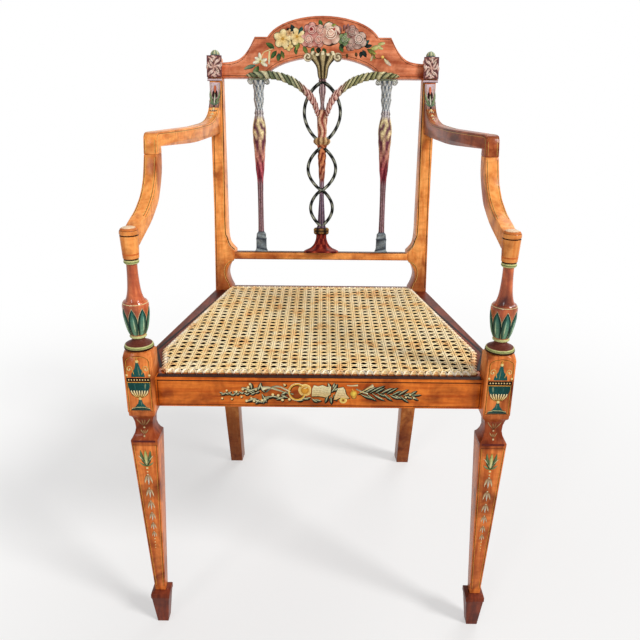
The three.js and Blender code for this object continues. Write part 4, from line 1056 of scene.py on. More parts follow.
def capital_front(t, a):
    lean = a * capital_half(t)
    flute = 1.6 * ridge(1.5 * a + 0.5) * min(1, 1.6 * (1 - t) + 0.25) - 0.3 * ridge(7.5 * a)
    crown = 4.8 * (1 - a * a) ** 0.5 + 1.6 * t
    lobe = 2.2 * (math.cos(math.pi * 2.5 * a) - 0.4) * t ** 8
    return Vector((lean, 0.2 - crown * 0.75 - flute, CAPITAL_FOOT + (CAPITAL_TOP - CAPITAL_FOOT) * t + lobe - 1))


def capital_tone(t, a):
    if t > 0.86:
        return blend(linear(92, 74, 48), linear(240, 228, 190), ridge(2.5 * a + 0.5) * 1.3)
    leaf = ridge(1.5 * a + 0.5)
    veined = blend(linear(128, 108, 70), linear(232, 214, 166), ridge(7.5 * a + 0.5) * leaf * (0.6 + 0.6 * t))
    return blend(linear(48, 40, 28), veined, leaf ** 1.3 * 1.5)


added(centre, shell(capital_front, 1.6, capital_tone, 26, 56))
CAPITAL_TONES = (linear(104, 86, 58), linear(240, 226, 192))
for hand in (LEFT, RIGHT):
    added(centre, coiled((hand * 27.2, 428), 7.4, -6.4, 1.6, 1.25, hand, CAPITAL_TONES))
finished("carved_centre_splat", centre, back_frame, carved_paint, ["centre_splat"])
print("centre splat reaches", CAPITAL_TOP)

# %% [markdown]
# ## Plumes
#
# A leafy branch arches over from each side splat and curls down to the stem. It has a rib along its
# middle, leaflets that slant off both sides, and a frilly edge. It is green and cream for most of its
# length and turns pink and red where it meets the stem.

# %% Plumes
PLUME_TOP = [(140.5, 397), (134, 400.5), (122, 403), (101, 404.5), (90, 403.5), (79, 402), (66, 398.5),
             (55, 394.5), (43.5, 387), (32, 378), (20.5, 368), (13.5, 358), (8, 346), (5.5, 334)]
PLUME_UNDER = [(140.5, 396), (133, 393), (120, 392.4), (104, 391), (90, 389.6), (76, 386.8), (62, 381),
               (48.5, 374.5), (36, 365), (27, 355), (19.5, 345), (14.5, 333), (11, 326), (6.5, 322.5)]
plume_top, plume_under = curved(PLUME_TOP, 120), curved(PLUME_UNDER, 120)


def plume_place(t, a):
    i = min(len(plume_top) - 2, int(t * (len(plume_top) - 1)))
    share = t * (len(plume_top) - 1) - i
    top = plume_top[i].lerp(plume_top[i + 1], share)
    under = plume_under[i].lerp(plume_under[i + 1], share)
    return under.lerp(top, 0.5 + 0.5 * a)


LEAVES, LEAF_SLANT = 17.5, 0.45


def leaflet(t, a):
    """Where a place lies on its leaf, from root to tip: long leaves that lean across the branch."""
    return (LEAVES * (1 - t) - LEAF_SLANT * (a if t < 0.62 else 1.6 * abs(a))) % 1


def plume_front(t, a):
    fresh = leaflet(t, a)
    frill = 1 + (0.24 if t < 0.62 else 0.3) * (fresh - 0.5) * min(1, 6 * t)
    place = plume_place(t, max(-1.0, min(1.0, a)) * frill)
    body = 4.2 * (1 - abs(a) ** 2.6) ** 0.5 * min(1, 12 * t + 0.3) * min(1, 9 * (1 - t) + 0.3)
    groove = 2.1 * (1 - within(fresh, 0, 1, 0.26))
    return Vector((place.x, 0.9 - max(0.3, body + 0.9 - groove), place.y))


LEAF_TONES = [(linear(34, 44, 34), linear(146, 158, 122)), (linear(84, 92, 62), linear(248, 242, 200)),
              (linear(40, 52, 42), linear(196, 202, 160))]


def plume_tone(t, a, warmth):
    fresh = leaflet(t, a)
    root, tip = LEAF_TONES[int(LEAVES * (1 - t) - LEAF_SLANT * a + 3) % 3]
    tip = blend(tip, linear(232, 214, 140), warmth)
    green = blend(linear(18, 26, 20), blend(root, tip, fresh * 1.15), within(fresh, 0, 1, 0.2))
    pink = blend(linear(176, 92, 92), linear(246, 208, 194), fresh * 1.2)
    flushed = blend(linear(108, 30, 40), pink, within(fresh, 0, 1, 0.2))
    return blend(green, flushed, (t - 0.58) * 8)


for name, side in SIDES.items():
    warmth = 0.35 if side == RIGHT else 0.0
    shape = shell(plume_front, 1.65, lambda t, a: plume_tone(t, a, warmth), 200, 16)
    finished(f"leafy_plume_{name}", shape, mirrored(side) @ back_frame, carved_paint, [f"plume_{name}"])
print("plumes from", PLUME_TOP[0], "to", PLUME_TOP[-1])

# %% [markdown]
# ## The caned seat
#
# Six-way caning is woven strand by strand through holes drilled round the frame: a row across, a row
# from front to back, the same again beside them, and then two slanting rows. So every hole of the
# weave is eight-sided. Cane is the glossy skin of rattan, pale on top. The sides of the strands are dark
# brown, partly the duller cut edge of the cane and partly painted shade, and their feet are painted near
# black: a painted shadow that keeps the holes of the weave dark. The middle of the seat has sagged a
# little, and a binder strip, tied down at each hole, hides the drilled edge.

# %% Cane material
cane_finish, cane_tree, cane_shader = node_material("split_cane", 0.4)
cane_shader.inputs["Specular IOR Level"].default_value = 0.1
cane_paint = cane_tree.nodes.new("ShaderNodeAttribute")
cane_paint.attribute_name = "paint"
cane_age = ramp(cane_tree, noise(cane_tree, (38, 30, 30), 4, 0.6),
                [(0.4, (1, 1, 1)), (0.56, (0.98, 0.86, 0.66)), (0.72, (0.84, 0.5, 0.26))])
cane_fleck = ramp(cane_tree, noise(cane_tree, (420, 420, 420), 3),
                  [(0.3, (0.7, 0.46, 0.3)), (0.44, (1, 1, 1))])
cane_worn = mixed(cane_tree, cane_age, cane_fleck, 0.6, "MULTIPLY")
cane_tree.links.new(mixed(cane_tree, cane_paint.outputs["Color"], cane_worn, 1.0, "MULTIPLY"),
                    cane_shader.inputs["Base Color"])
bumped(cane_tree, cane_shader, noise(cane_tree, (900, 900, 900), 2), 0.12, 0.0002)
print("cane finish", cane_finish.name)

# %% Strands
CANE_OUTLINE = [(29, 219), (44, 220), (104, 233), (419, 172)]
CANE_PITCH, STRAND_HALF, PAIR_HALF, CANE_SAG, RAIL_TOP = 14.4, 1.32, 1.5, 3.5, 431.1
STRAND_SECTION = [(-1, 0.5), (-0.62, 1.1), (0.62, 1.1), (1, 0.5), (0.85, 0), (-0.85, 0)]
# Tops are pale. Sides are dark brown, the cane's cut edge with painted shade. Feet are near black, a painted shadow.
STRAND_TOP, CANE_SIDE_AND_SHADE, STRAND_SHADOW_FOOT = linear(255, 236, 188), linear(112, 62, 34), linear(12, 6, 4)


def cane_half(y):
    for (y0, x0), (y1, x1) in zip(CANE_OUTLINE, CANE_OUTLINE[1:]):
        if y <= y1:
            return x0 + (x1 - x0) * (y - y0) / (y1 - y0)
    return 0


def in_cane(x, y):
    return CANE_OUTLINE[0][0] <= y <= CANE_OUTLINE[-1][0] and abs(x) <= cane_half(y)


def from_edge(x, y):
    return min(y - 29, 419 - y, cane_half(min(max(y, 29), 419)) - abs(x))


def over_opening(x, y):
    """0 over the seat rails, 1 where nothing is under the cane."""
    return max(0.0, min(1.0, (from_edge(x, y) - 20) / 4))


def cane_drop(x, y):
    edge = from_edge(x, y)
    share = max(0.0, min(1.0, (edge - 12) / 120))
    return CANE_SAG * share * share * (3 - 2 * share)


# A strand given a drop hangs its foot lower over the opening. That foot is painted near black as a painted shadow under
# the weave.
def strand(shape, start, direction, level, wave, phase, deep=0.0):
    reach = [t for t in range(-640, 641, 2) if in_cane(start.x + direction.x * t, start.y + direction.y * t)]
    if len(reach) < 8:
        return
    steps = max(2, round((reach[-1] - reach[0]) / 7.2))
    across = Vector((-direction.y, direction.x)) * STRAND_HALF

    def corner(ring, side):
        along = reach[0] + (reach[-1] - reach[0]) * ring / steps
        x, y = start.x + direction.x * along, start.y + direction.y * along
        rise = level + wave * math.cos(math.pi * ring + phase) if 0 < ring < steps else 0
        a, h = STRAND_SECTION[side]
        height = rise + h - (rise + deep * over_opening(x, y) if deep and h == 0 else 0)
        return Vector((x + across.x * a, y + across.y * a, RAIL_TOP + height - cane_drop(x, y)))

    bent(shape, 6, steps + 1, corner, lambda ring, side: strand_tone(side, deep))


def strand_tone(side, deep=0.0):
    height = STRAND_SECTION[side][1]
    return STRAND_TOP if height > 1 else STRAND_SHADOW_FOOT if deep or not height else CANE_SIDE_AND_SHADE


weave = bmesh.new()
weave.verts.layers.float_color.new("paint")
ACROSS, ALONG = Vector((1, 0)), Vector((0, 1))
SLANTS = [Vector((1, 1)).normalized(), Vector((1, -1)).normalized()]
for row in range(27):
    y = 36 + row * CANE_PITCH
    strand(weave, Vector((0, y - PAIR_HALF)), ACROSS, 2.6, 0.25, row, 1.6)
    strand(weave, Vector((0, y + PAIR_HALF)), ACROSS, 3.1, 0.25, row + 1.5, 1.6)
for column in range(-16, 17):
    x = column * CANE_PITCH
    strand(weave, Vector((x - PAIR_HALF, 0)), ALONG, 3.3, 0.3, column)
    strand(weave, Vector((x + PAIR_HALF, 0)), ALONG, 3.5, 0.3, column + 1.5)
for slant in SLANTS:
    level = 3.0 if slant.y > 0 else 2.6
    for line in range(-34, 35):
        middle = Vector((CANE_PITCH * (line + 0.5), 36 + 13 * CANE_PITCH))
        strand(weave, middle, slant, level, 0.3, line)
print("cane faces:", len(weave.faces))

# %% Binder and ties


def cane_edge():
    right = [Vector((x, y)) for y, x in CANE_OUTLINE]
    return [*right, *[Vector((-p.x, p.y)) for p in reversed(right)]]


STRIP_SECTION = [(-1, 0), (-0.9, 0.7), (-0.5, 1), (0.5, 1), (0.9, 0.7), (1, 0)]


def edge_strip(line, half, low, high, pale, swing=0.0, swings=0):
    """A closed strip that follows a closed line, and may swing from side to side over the edge."""
    count = len(line)

    def corner(ring, side):
        turn = math.tau * swings * ring / count
        ahead = (line[(ring + 1) % count] - line[ring - 1]).normalized()
        outward = Vector((ahead.y, -ahead.x))
        a, h = STRIP_SECTION[side]
        spot = line[ring] + outward * (half * a + swing * math.sin(turn)) + ahead * 0.5 * swing * math.cos(turn) * a
        dip = 0.7 * swing * max(0.0, math.sin(turn))
        return Vector((spot.x, spot.y, max(RAIL_TOP - 0.2, low + (high - low) * h - dip)))

    return closed_bar(6, count, corner, lambda ring, side: pale if STRIP_SECTION[side][1] else CANE_SIDE_AND_SHADE)


edge_line, edge_length = evenly(cane_edge(), 300)
added(weave, edge_strip(edge_line, 1.9, RAIL_TOP - 0.2, RAIL_TOP + 2.6, blend(STRAND_TOP, BROWN, 0.25)))
ties = round(edge_length / 10.4)
lace_line, edge_length = evenly(cane_edge(), ties * 6)
added(weave, edge_strip(lace_line, 1.7, RAIL_TOP + 0.2, RAIL_TOP + 4.6, linear(255, 246, 226), 4.4, ties))
bmesh.ops.recalc_face_normals(weave, faces=weave.faces)
finished("woven_cane", weave, Matrix.Identity(4), cane_finish, ["cane_seat"])
print("ties:", ties)

# %% [markdown]
# ## A brush
#
# The painter's whole vocabulary is a few strokes: a long stroke with a swelling body, a round dab and
# a flat patch. Leaves, petals and scrolls are long strokes. A stroke is a low closed ridge on a surface
# that is described by a canvas: a function from a place across, a place up and a height over the
# surface to a point in space. The same brush then works on a flat rail, a tapered leg or a turned cup.

# %% The brush
LEAF = (0.0, 0.6, 0.95, 1.0, 0.86, 0.55, 0.0)
PETAL = (0.35, 0.75, 1.0, 1.0, 0.82, 0.4)
HUSK = (0.0, 0.95, 0.8, 0.5, 0.0)
EVEN = (1, 1)


class Brush:
    def __init__(self, canvas):
        self.canvas = canvas
        self.shape = bmesh.new()
        self.shape.verts.layers.float_color.new("paint")

    def stroke(self, path, half_widths, root, tip=None, side=0.35, thick=0.4, base=0.0):
        """A long stroke: its colour runs from root to tip, and its edges and one flank are darker. With a
        base it stands on straight walls, so that its edge shows over the strokes that it covers."""
        path, last, edge = [Vector(p) for p in path], len(path) - 1, max(0.34, 0.94 - 1.8 * side)
        walls = [(-1, base, edge)] if base else []
        section = [(-1, -0.1, edge), *walls, (-0.5, base + 0.8 * thick, 1), (0, base + thick, 1.06),
                   (0.5, base + 0.8 * thick, 1 - side), *[(1, high, dim * 0.7) for _, high, dim in walls],
                   (1, -0.1, edge * 0.7)]

        def corner(ring, flank):
            ahead = path[min(ring + 1, last)] - path[max(ring - 1, 0)]
            across = Vector((-ahead.y, ahead.x)).normalized() * max(half_widths[ring], 0.02)
            spot = path[ring] + across * section[flank][0]
            return self.canvas(spot.x, spot.y, section[flank][1])

        def tone(ring, flank):
            return tuple(c * section[flank][2] for c in blend(root, tip or root, ring / last))

        bent(self.shape, len(section), last + 1, corner, tone)

    def leaf(self, place, angle, length, half, root, tip=None, bend=0, shape=LEAF, side=0.35, thick=0.4, base=0.0):
        """A stroke from a place in a direction in degrees, which may bend on its way."""
        steps = len(shape) - 1
        turn, spot, path = math.radians(angle - bend / 2), Vector(place), [Vector(place)]
        for _ in range(steps):
            spot = spot + Vector((math.cos(turn), math.sin(turn))) * length / steps
            turn += math.radians(bend) / steps
            path.append(spot)
        self.stroke(path, [half * share for share in shape], root, tip, side, thick, base)

    def line(self, points, width, tone, thick=0.2):
        self.stroke(points, [width / 2] * len(points), tone, None, 0.0, thick)

    def dab(self, place, radius, tone, rim=None, thick=0.5, sides=9):
        rings = [(1, -0.1), (0.8, 0.6 * thick), (0.4, thick)]

        def corner(ring, side):
            share, lift = rings[ring]
            angle = math.tau * side / sides
            return self.canvas(place[0] + math.cos(angle) * radius * share,
                               place[1] + math.sin(angle) * radius * share, lift)

        bent(self.shape, sides, 3, corner, lambda ring, side: blend(rim or tone, tone, 1.4 * (1 - rings[ring][0])))

    def patch(self, outline, tone_at, thick=0.25):
        """A flat area of paint with a colour for each corner."""
        sheet = bmesh.new()
        layer = sheet.verts.layers.float_color.new("paint")
        slab(sheet, [(u, v, -0.1) for u, v in outline], (0, 0, thick + 0.1))
        for vert in sheet.verts:
            vert[layer] = (*tone_at(vert.co.x, vert.co.y), 1)
            vert.co = self.canvas(*vert.co)
        added(self.shape, sheet)

    def petal(self, place, angle, length, half, root, tip, base, bend=20):
        """A petal over a slightly larger and darker one, which becomes its rim."""
        rim = tuple(c * 0.2 for c in root)
        self.leaf(place, angle, length * 1.06, half * 1.15, rim, rim, bend, PETAL, 0, 0.02, base)
        self.leaf(place, angle, length, half, root, tip, bend, PETAL, 0.12, 0.28, base)

    def blossom(self, place, radius, petal, rim, heart, turn=0, petals=5):
        for i in range(petals):
            angle = turn + 360 * i / petals
            start = Vector(place) + Vector((math.cos(math.radians(angle)), math.sin(math.radians(angle)))) * radius * 0.1
            self.petal(start, angle, radius * 0.9, radius * 0.42, petal, rim, 0.15 + 0.06 * i)
        self.dab(place, radius * 0.2, heart, BROWN, 1.0)

    def rose(self, place, radius, pale, deep, heart, turn=20):
        """A full rose: five outer petals round a pale ball, whose petals are curved dark lines with a
        light beside each."""
        middle = Vector(place)
        for i in range(5):
            angle = turn + 360 * i / 5
            away = Vector((math.cos(math.radians(angle)), math.sin(math.radians(angle))))
            light = 0.5 + 0.5 * math.sin(math.radians(angle) + 0.5)
            self.petal(middle + away * radius * 0.3, angle, radius * 0.7, radius * 0.48, blend(tuple(c * 0.6 for c in deep), pale, 0.2 * light),
                       blend(deep, pale, 0.6 + 0.6 * light), 0.15 + 0.05 * i, 14)
        ball, line = middle + Vector((0.06, 0.1)) * radius, tuple(c * 0.5 for c in deep)
        self.dab(ball - Vector((0.02, 0.06)) * radius, radius * 0.64, line, line, 0.62, 18)
        self.dab(ball, radius * 0.6, pale, blend(deep, pale, 0.4), 0.85, 18)
        for i, (reach, opening) in enumerate(((0.46, 250), (0.4, 30), (0.31, 140), (0.24, 280), (0.16, 60))):
            for gap, half, tone in ((0, 0.045, line if i < 3 else heart), (0.07, 0.04, blend(pale, WHITE, 0.4))):
                arc = [math.radians(turn + opening + 22 * s) for s in range(-4, 5)]
                curl = [ball + Vector((math.cos(s), math.sin(s))) * radius * (reach + gap) for s in arc]
                self.stroke(curl, [radius * half * s for s in (0.3, 0.7, 0.9, 1, 1, 1, 0.9, 0.7, 0.3)], tone, tone,
                            0, 0.1, 0.8 - 0.5 * reach * reach)
        self.dab(ball, radius * 0.1, heart, heart, 1.0)

    def done(self, name, place, material=None):
        bmesh.ops.recalc_face_normals(self.shape, faces=self.shape.faces)
        return finished(name, self.shape, place, material or oil_paint, ())


print("brush strokes: stroke, leaf, line, dab, patch, blossom, rose")

# %% [markdown]
# ## The garland on the crest
#
# Roses in the middle, cream blossoms on the left, mauve roses on the right, and at each end a bell
# flower or a bud on a curling stem. Leaves go on first, because petals overlap them.

# %% Crest garland
CREST_FACE = 2
garland = Brush(lambda u, v, w: Vector((u, CREST_FACE - w, v)))
DEEP_LEAF, COLD_LEAF, WARM_LEAF = linear(46, 66, 44), linear(44, 64, 62), linear(128, 134, 66)
GARLAND_LEAVES = [
    (-122, 414, 200, 24, 4.2, 20, TEAL, SAGE), (-120, 413, 240, 19, 4, -15, GREEN, SAGE),
    (-118, 414, 262, 14, 3, 0, DEEP_LEAF, GREEN), (-88, 443, 150, 19, 5, 15, DEEP_LEAF, GREEN),
    (-84, 440, 235, 18, 4.5, 10, DEEP_LEAF, GREEN), (-80, 436, 262, 15, 5, -12, COLD_LEAF, GREEN),
    (-76, 440, 290, 15, 4, 0, DEEP_LEAF, WARM_LEAF), (-52, 466, 110, 20, 6, 20, BLACK, COLD_LEAF),
    (-47, 463, 66, 21, 6, 20, COLD_LEAF, TEAL), (-56, 472, 150, 12, 4, 0, COLD_LEAF, BLACK),
    (-43, 456, 250, 19, 5, 12, GREEN, YELLOW_GREEN), (-50, 446, 280, 13, 4, 10, DEEP_LEAF, GREEN),
    (-36, 448, 300, 16, 4.5, 0, GREEN, WARM_LEAF), (-3, 480, 110, 14, 4.5, 20, DEEP_LEAF, GREEN),
    (3, 479, 50, 15, 4, -20, COLD_LEAF, GREEN), (12, 482, 20, 12, 3.5, 10, GREEN, YELLOW_GREEN),
    (-8, 447, 270, 12, 5, 0, BLACK, DEEP_LEAF), (0, 445, 300, 12, 4.5, 10, DEEP_LEAF, GREEN),
    (-16, 446, 240, 11, 4, 0, DEEP_LEAF, GREEN), (30, 450, 300, 14, 4.5, 0, DEEP_LEAF, GREEN),
    (34, 454, 270, 13, 5, 0, BLACK, DEEP_LEAF), (70, 440, 265, 12, 4, 0, BLACK, COLD_LEAF),
    (72, 442, 300, 15, 4.5, 0, COLD_LEAF, BLACK), (74, 451, 40, 13, 4, 10, COLD_LEAF, TEAL),
    (76, 447, 10, 14, 4, -15, BLACK, COLD_LEAF), (80, 444, 335, 20, 4.5, 20, DEEP_LEAF, YELLOW_GREEN),
    (86, 444, 20, 20, 5, 25, YELLOW_GREEN, PALE), (88, 440, 300, 16, 3.5, 10, BROWN, WARM_LEAF),
    (60, 438, 280, 9, 3, 0, DEEP_LEAF, BROWN), (44, 436, 270, 9, 3, 0, DEEP_LEAF, BROWN)]
for place, radius in (((-73, 454), 10), ((-50, 455), 10), ((-24, 462), 15), ((-12, 456), 11), ((12, 463), 17), ((40, 458), 9),
                      ((58, 462), 14)):
    garland.dab(place, radius, DEEP_LEAF, DARK, 0.12, 18)
for u, v, angle, length, half, bend, root, tip in GARLAND_LEAVES:
    garland.leaf((u, v), angle, length, half, root, tip, bend)
garland.line(curved([(-88, 444), (-100, 440), (-108, 436), (-112, 427)], 10), 1.6, PALE)
garland.line(curved([(-97, 439), (-98, 430), (-98, 420)], 6), 3.4, PALE, 0.4)
garland.line(curved([(86, 438), (94, 430), (103, 427), (110, 430), (118, 424)], 14), 1.2, DARK)
for angle, length in ((150, 12), (195, 14), (330, 15), (20, 13), (100, 15)):
    garland.leaf((-114, 421), angle, length, 3.8, PALE, WHITE, 12, PETAL, 0.25, 0.5)
garland.dab((-114, 421), 2.4, GOLD, BROWN, 0.9)
garland.leaf((-98, 426), 270, 11, 2.6, PALE, WHITE, 0, HUSK)
BUTTER, BUTTER_EDGE = linear(226, 186, 112), linear(246, 230, 180)
garland.blossom((-73, 460), 16.5, BUTTER, BUTTER_EDGE, GOLD, 18)
garland.blossom((-47, 464), 15, BUTTER, BUTTER_EDGE, GOLD, 40)
garland.blossom((-63, 448), 9, BUTTER, linear(226, 206, 146), BROWN, 70)
garland.blossom((-61, 470), 7, linear(196, 146, 92), linear(222, 190, 146), BROWN, 20)
for place, radius, pale, heart in (((-27, 459), 13.5, linear(244, 200, 182), ROSE), ((-9, 458), 12.5, linear(238, 184, 166), RED),
                                   ((-6, 474), 11, linear(240, 192, 172), ROSE), ((-21, 475), 13.5, linear(236, 176, 164), RED)):
    garland.rose(place, radius, pale, linear(186, 88, 82), heart, 15)
garland.dab((-21, 477), 3.8, linear(120, 24, 34), RED, 1.3)
garland.rose((13, 469), 19.5, linear(253, 228, 206), linear(214, 128, 106), linear(196, 104, 84), 35)
garland.dab((20, 477), 3, RED, ROSE, 1.2)
garland.rose((39, 460), 11, linear(150, 166, 116), linear(62, 92, 64), DEEP_LEAF, 0)
garland.rose((52, 472), 12, linear(200, 154, 142), linear(116, 70, 66), DARK, 15)
garland.rose((64, 459), 15.5, linear(232, 202, 186), linear(134, 88, 84), MAUVE, 50)
garland.rose((50, 449), 9, linear(206, 162, 148), linear(126, 80, 76), DARK, 30)
for u, v, angle in ((33, 472, 110), (37, 474, 80), (42, 476, 70), (45, 470, 60), (30, 468, 140)):
    garland.leaf((u, v), angle, 11, 3, BROWN, MAUVE, 8, PETAL, 0.3, 0.6)
for u, v, angle, length in ((100, 452, 10, 13), (98, 448, 340, 12)):
    garland.leaf((u, v), angle, length, 3.4, YELLOW_GREEN, PALE, 0, PETAL)
garland.dab((109, 430), 3, YELLOW, GOLD, 0.7)
garland.leaf((112, 427), 320, 17, 3.6, PALE, linear(226, 196, 186), 20, PETAL, 0.3, 0.5)
garland.leaf((92, 434), 250, 12, 2.6, MAUVE, PALE, 10, PETAL)
garland.done("crest_garland", back_frame)
print("garland leaves:", len(GARLAND_LEAVES))

# %% Lines on the crest
# A dark line follows the outline a few millimetres inside it, and a second one follows the arch.


def arc(half, rise, centre, low, high, steps=28):
    start, end = math.asin((low - centre) / rise), math.pi - math.asin((high - centre) / rise)
    return [Vector((half * math.cos(start + (end - start) * i / steps), centre + rise * math.sin(start + (end - start) * i / steps)))
            for i in range(steps + 1)]


crest_lines = Brush(lambda u, v, w: Vector((u, CREST_FACE - w, v)))
dome_line = arc(101.5, 46.5, 449.5, 460.5, 460.5, 40)
sweep_line = curved([(183, 414.5), (167, 415.5), (151, 421), (139, 433), (129, 451), (122.5, 460.5)], 16)
for hand in (LEFT, RIGHT):
    crest_lines.line([Vector((hand * p.x, p.y)) for p in [*sweep_line, Vector((103, 460.5))]], 0.9, DARK)
crest_lines.line(dome_line, 0.9, DARK)
arch_line = arc(112, 50, 385, 396.5, 396.5, 40)
crest_lines.line([Vector((183, 396)), *arch_line, Vector((-183, 396))], 0.9, DARK)
crest_lines.done("crest_lines", back_frame)
print("crest lines follow the outline and the arch")

# %% [markdown]
# ## The legs
#
# Each leg block carries an urn inside an arched line: a teal lid with gold scroll handles, a black
# band of gold beads, a teal bowl, gold gadroons and a stemmed foot. A string of bellflower husks hangs
# down the tapered part from a green tulip.

# %% Leg paintwork
NECK = [(334, 19), (337.9, 19), (341.8, 16.1), (347.6, 13.5), (354.4, 12), (364.1, 12.5), (372.8, 14.7),
        (376.7, 18), (382.5, 18.3)]


def leg_half(height):
    if height >= 382.5:
        return 19
    if height <= 334:
        return 8 + 11 * (height - 62) / 272
    return next(h0 + (h1 - h0) * (height - z0) / (z1 - z0)
                for (z0, h0), (z1, h1) in zip(NECK, NECK[1:]) if height <= z1)


def leg_canvas(u, v, w):
    return Vector((u, -leg_half(v) - w, v))


def glaze(tone, low=0.65):
    """Paint on a rounded thing: light on its left half, dark at its edges."""
    return lambda u, v: tuple(c * (low + (1.15 - low) * max(0, 1 - abs(u + 4) / 16)) for c in tone)


def paint_urn(brush):
    brush.patch([(-1.8, 458), (1.8, 458), (3.8, 450), (8.6, 442), (9.4, 437), (-9.4, 437), (-8.6, 442), (-3.8, 450)], glaze(TEAL))
    brush.leaf((-2, 438), 84, 17, 1.1, SAGE, TEAL)
    for hand in (LEFT, RIGHT):
        scroll = [(5.5, 441), (7, 447), (8.5, 452), (12, 452.5), (14, 449), (12.5, 446.3), (10.3, 447.2), (10, 449)]
        brush.stroke([(hand * u, v) for u, v in curved(scroll, 16)], [0.7] * 17, GOLD, PALE, 0.2, 0.5)
        brush.dab((hand * 15.4, 439.5), 1.9, CREAM, GOLD, 0.8)
        brush.dab((hand * 10.6, 448.6), 1.3, CREAM, GOLD, 0.8)
    brush.dab((0, 460), 2.6, PALE, GOLD, 0.9)
    brush.dab((0, 464), 1.6, GOLD, BROWN, 0.7)
    brush.patch([(-15.8, 435.6), (15.8, 435.6), (15.8, 429.6), (-15.8, 429.6)], lambda u, v: BLACK)
    for bead in range(8):
        brush.dab((-13.3 + bead * 3.8, 432.6), 1.3, CREAM, GOLD, 0.8, 7)
    bowl = [(-15.3, 428.8), (15.3, 428.8), (14.8, 422), (12.6, 415.6), (-12.6, 415.6), (-14.8, 422)]
    brush.patch(bowl, glaze(TEAL, 0.5))
    brush.leaf((-9, 427.5), 278, 11, 2.2, SAGE, TEAL, 6)
    brush.leaf((6, 427.5), 265, 10, 1.6, BLUE_GREEN, TEAL, -4)
    brush.line([(-15.3, 428.6), (15.3, 428.6)], 0.9, GOLD, 0.4)
    brush.patch([(-13.4, 416), (13.4, 416), (10.5, 409.5), (5, 405.6), (-5, 405.6), (-10.5, 409.5)], lambda u, v: DARK)
    for i in range(7):
        u = -11.4 + i * 3.8
        brush.stroke([(u, 416.4), (u * 0.9, 412.5), (u * 0.62, 408.6), (u * 0.42, 406.2)], [1.35, 1.5, 1.1, 0.4],
                     CREAM, GOLD, 0.2, 0.6)
    brush.dab((0, 404), 2.6, PALE, GOLD, 0.8)
    brush.patch([(-2, 402), (2, 402), (3.2, 397), (7.5, 391.4), (-7.5, 391.4), (-3.2, 397)], glaze(TEAL, 0.5))
    brush.leaf((-1, 401), 268, 9, 0.9, SAGE, TEAL)
    brush.patch([(-12, 389), (-7, 391.4), (7, 391.4), (12, 389), (13.8, 385.6), (-13.8, 385.6)], glaze(BLUE_GREEN, 0.5))
    brush.line([(-12.6, 388.6), (-5, 390.6), (5, 390.6), (12.6, 388.6)], 0.9, PALE, 0.5)


HUSK_ROOT, HUSK_TIP = linear(150, 104, 62), linear(236, 214, 172)


def paint_husks(brush):
    # A plum band across the top of the taper is painted shade under the neck.
    brush.line([(-15.8, 336), (15.8, 336)], 3.6, PLUM, 0.25)
    for foot, tall in ((357, 17), (345, 9)):
        for hand in (LEFT, RIGHT):
            brush.leaf((0, foot), 90 + hand * 34, tall, 1.0, BROWN, linear(206, 172, 120), -hand * 24)
            brush.leaf((0, foot), 90 + hand * 10, tall * 0.7, 0.9, BROWN, linear(190, 150, 100), -hand * 10)
        brush.dab((0, foot - 2), 1.8, linear(222, 196, 150), BROWN, 0.6)
    brush.leaf((0, 296), 90, 26, 3.2, PALE, YELLOW_GREEN, 0, LEAF, 0.4)
    for hand in (LEFT, RIGHT):
        brush.leaf((0, 294), 90 - hand * 12, 29, 2.9, DEEP_LEAF, blend(GREEN, SAGE, 0.4), hand * 26)
        brush.leaf((0, 294), 90 - hand * 34, 22, 1.5, linear(96, 112, 70), CREAM, -hand * 34)
        brush.leaf((0, 294), 90 - hand * 52, 13, 1.6, GREEN, SAGE, hand * 26)
    brush.dab((0, 291), 2, CREAM, GOLD, 0.6)
    brush.dab((0, 285), 1.4, CREAM, GOLD, 0.6)
    for top, tall, half in ((280, 17, 5.2), (256, 16, 4.8), (233, 14.5, 4.4), (212, 13, 4), (193, 11.5, 3.5), (177, 10, 3)):
        for hand in (LEFT, RIGHT):
            brush.leaf((0, top), 270 + hand * 17, tall, half * 0.46, HUSK_ROOT, HUSK_TIP, -hand * 22, HUSK, 0.3, 0.5)
        brush.leaf((0, top), 270, tall * 1.08, half * 0.42, HUSK_ROOT, WHITE, 0, HUSK, 0.3, 0.7)
        brush.dab((0, top), half * 0.34, HUSK_TIP, BROWN, 0.7)
    for height in (163, 157, 151.5, 146.5):
        brush.dab((0, height), (height - 120) / 34, CREAM, GOLD, 0.6, 7)


def paint_leg_lines(brush):
    arch = [(-16.2, 384.6), (-16.2, 459.5), (-14.6, 463), (-9, 466.4), (0, 467.9), (9, 466.4), (14.6, 463), (16.2, 459.5),
            (16.2, 384.6), (-16.2, 384.6)]
    brush.line(arch, 0.8, DARK)
    brush.line([(u * 0.95, min(v, 466.2)) for u, v in arch[:-1]], 0.6, GOLD)
    for hand in (LEFT, RIGHT):
        brush.line([(hand * (leg_half(v) - 2.2), v) for v in (330, 250, 160, 70)], 0.8, DARK)
        brush.line([(hand * (leg_half(v) - 3.2), v) for v in (329, 250, 160, 72)], 0.5, GOLD)
    brush.line([(-16.6, 330), (16.6, 330)], 0.8, DARK)


for name, side in SIDES.items():
    brush = Brush(leg_canvas)
    paint_leg_lines(brush)
    paint_urn(brush)
    paint_husks(brush)
    brush.done(f"leg_paintwork_{name}", leg_frame(side))
print("leg paintwork on", list(SIDES))

# %% Leaves on the balusters
CUP_REACH = 17
CUP_LEAF = [p.y for p in curved([(0, 0.86), (1, 0.96), (2, 1), (3, 0.98), (4, 0.84), (5, 0.5), (6, 0.04)], 24)]


def cup_canvas(u, v, w):
    angle, radius = u / CUP_REACH, radius_at(BALUSTER_RUNS, v) + w
    return Vector((radius * math.sin(angle), -radius * math.cos(angle), v))


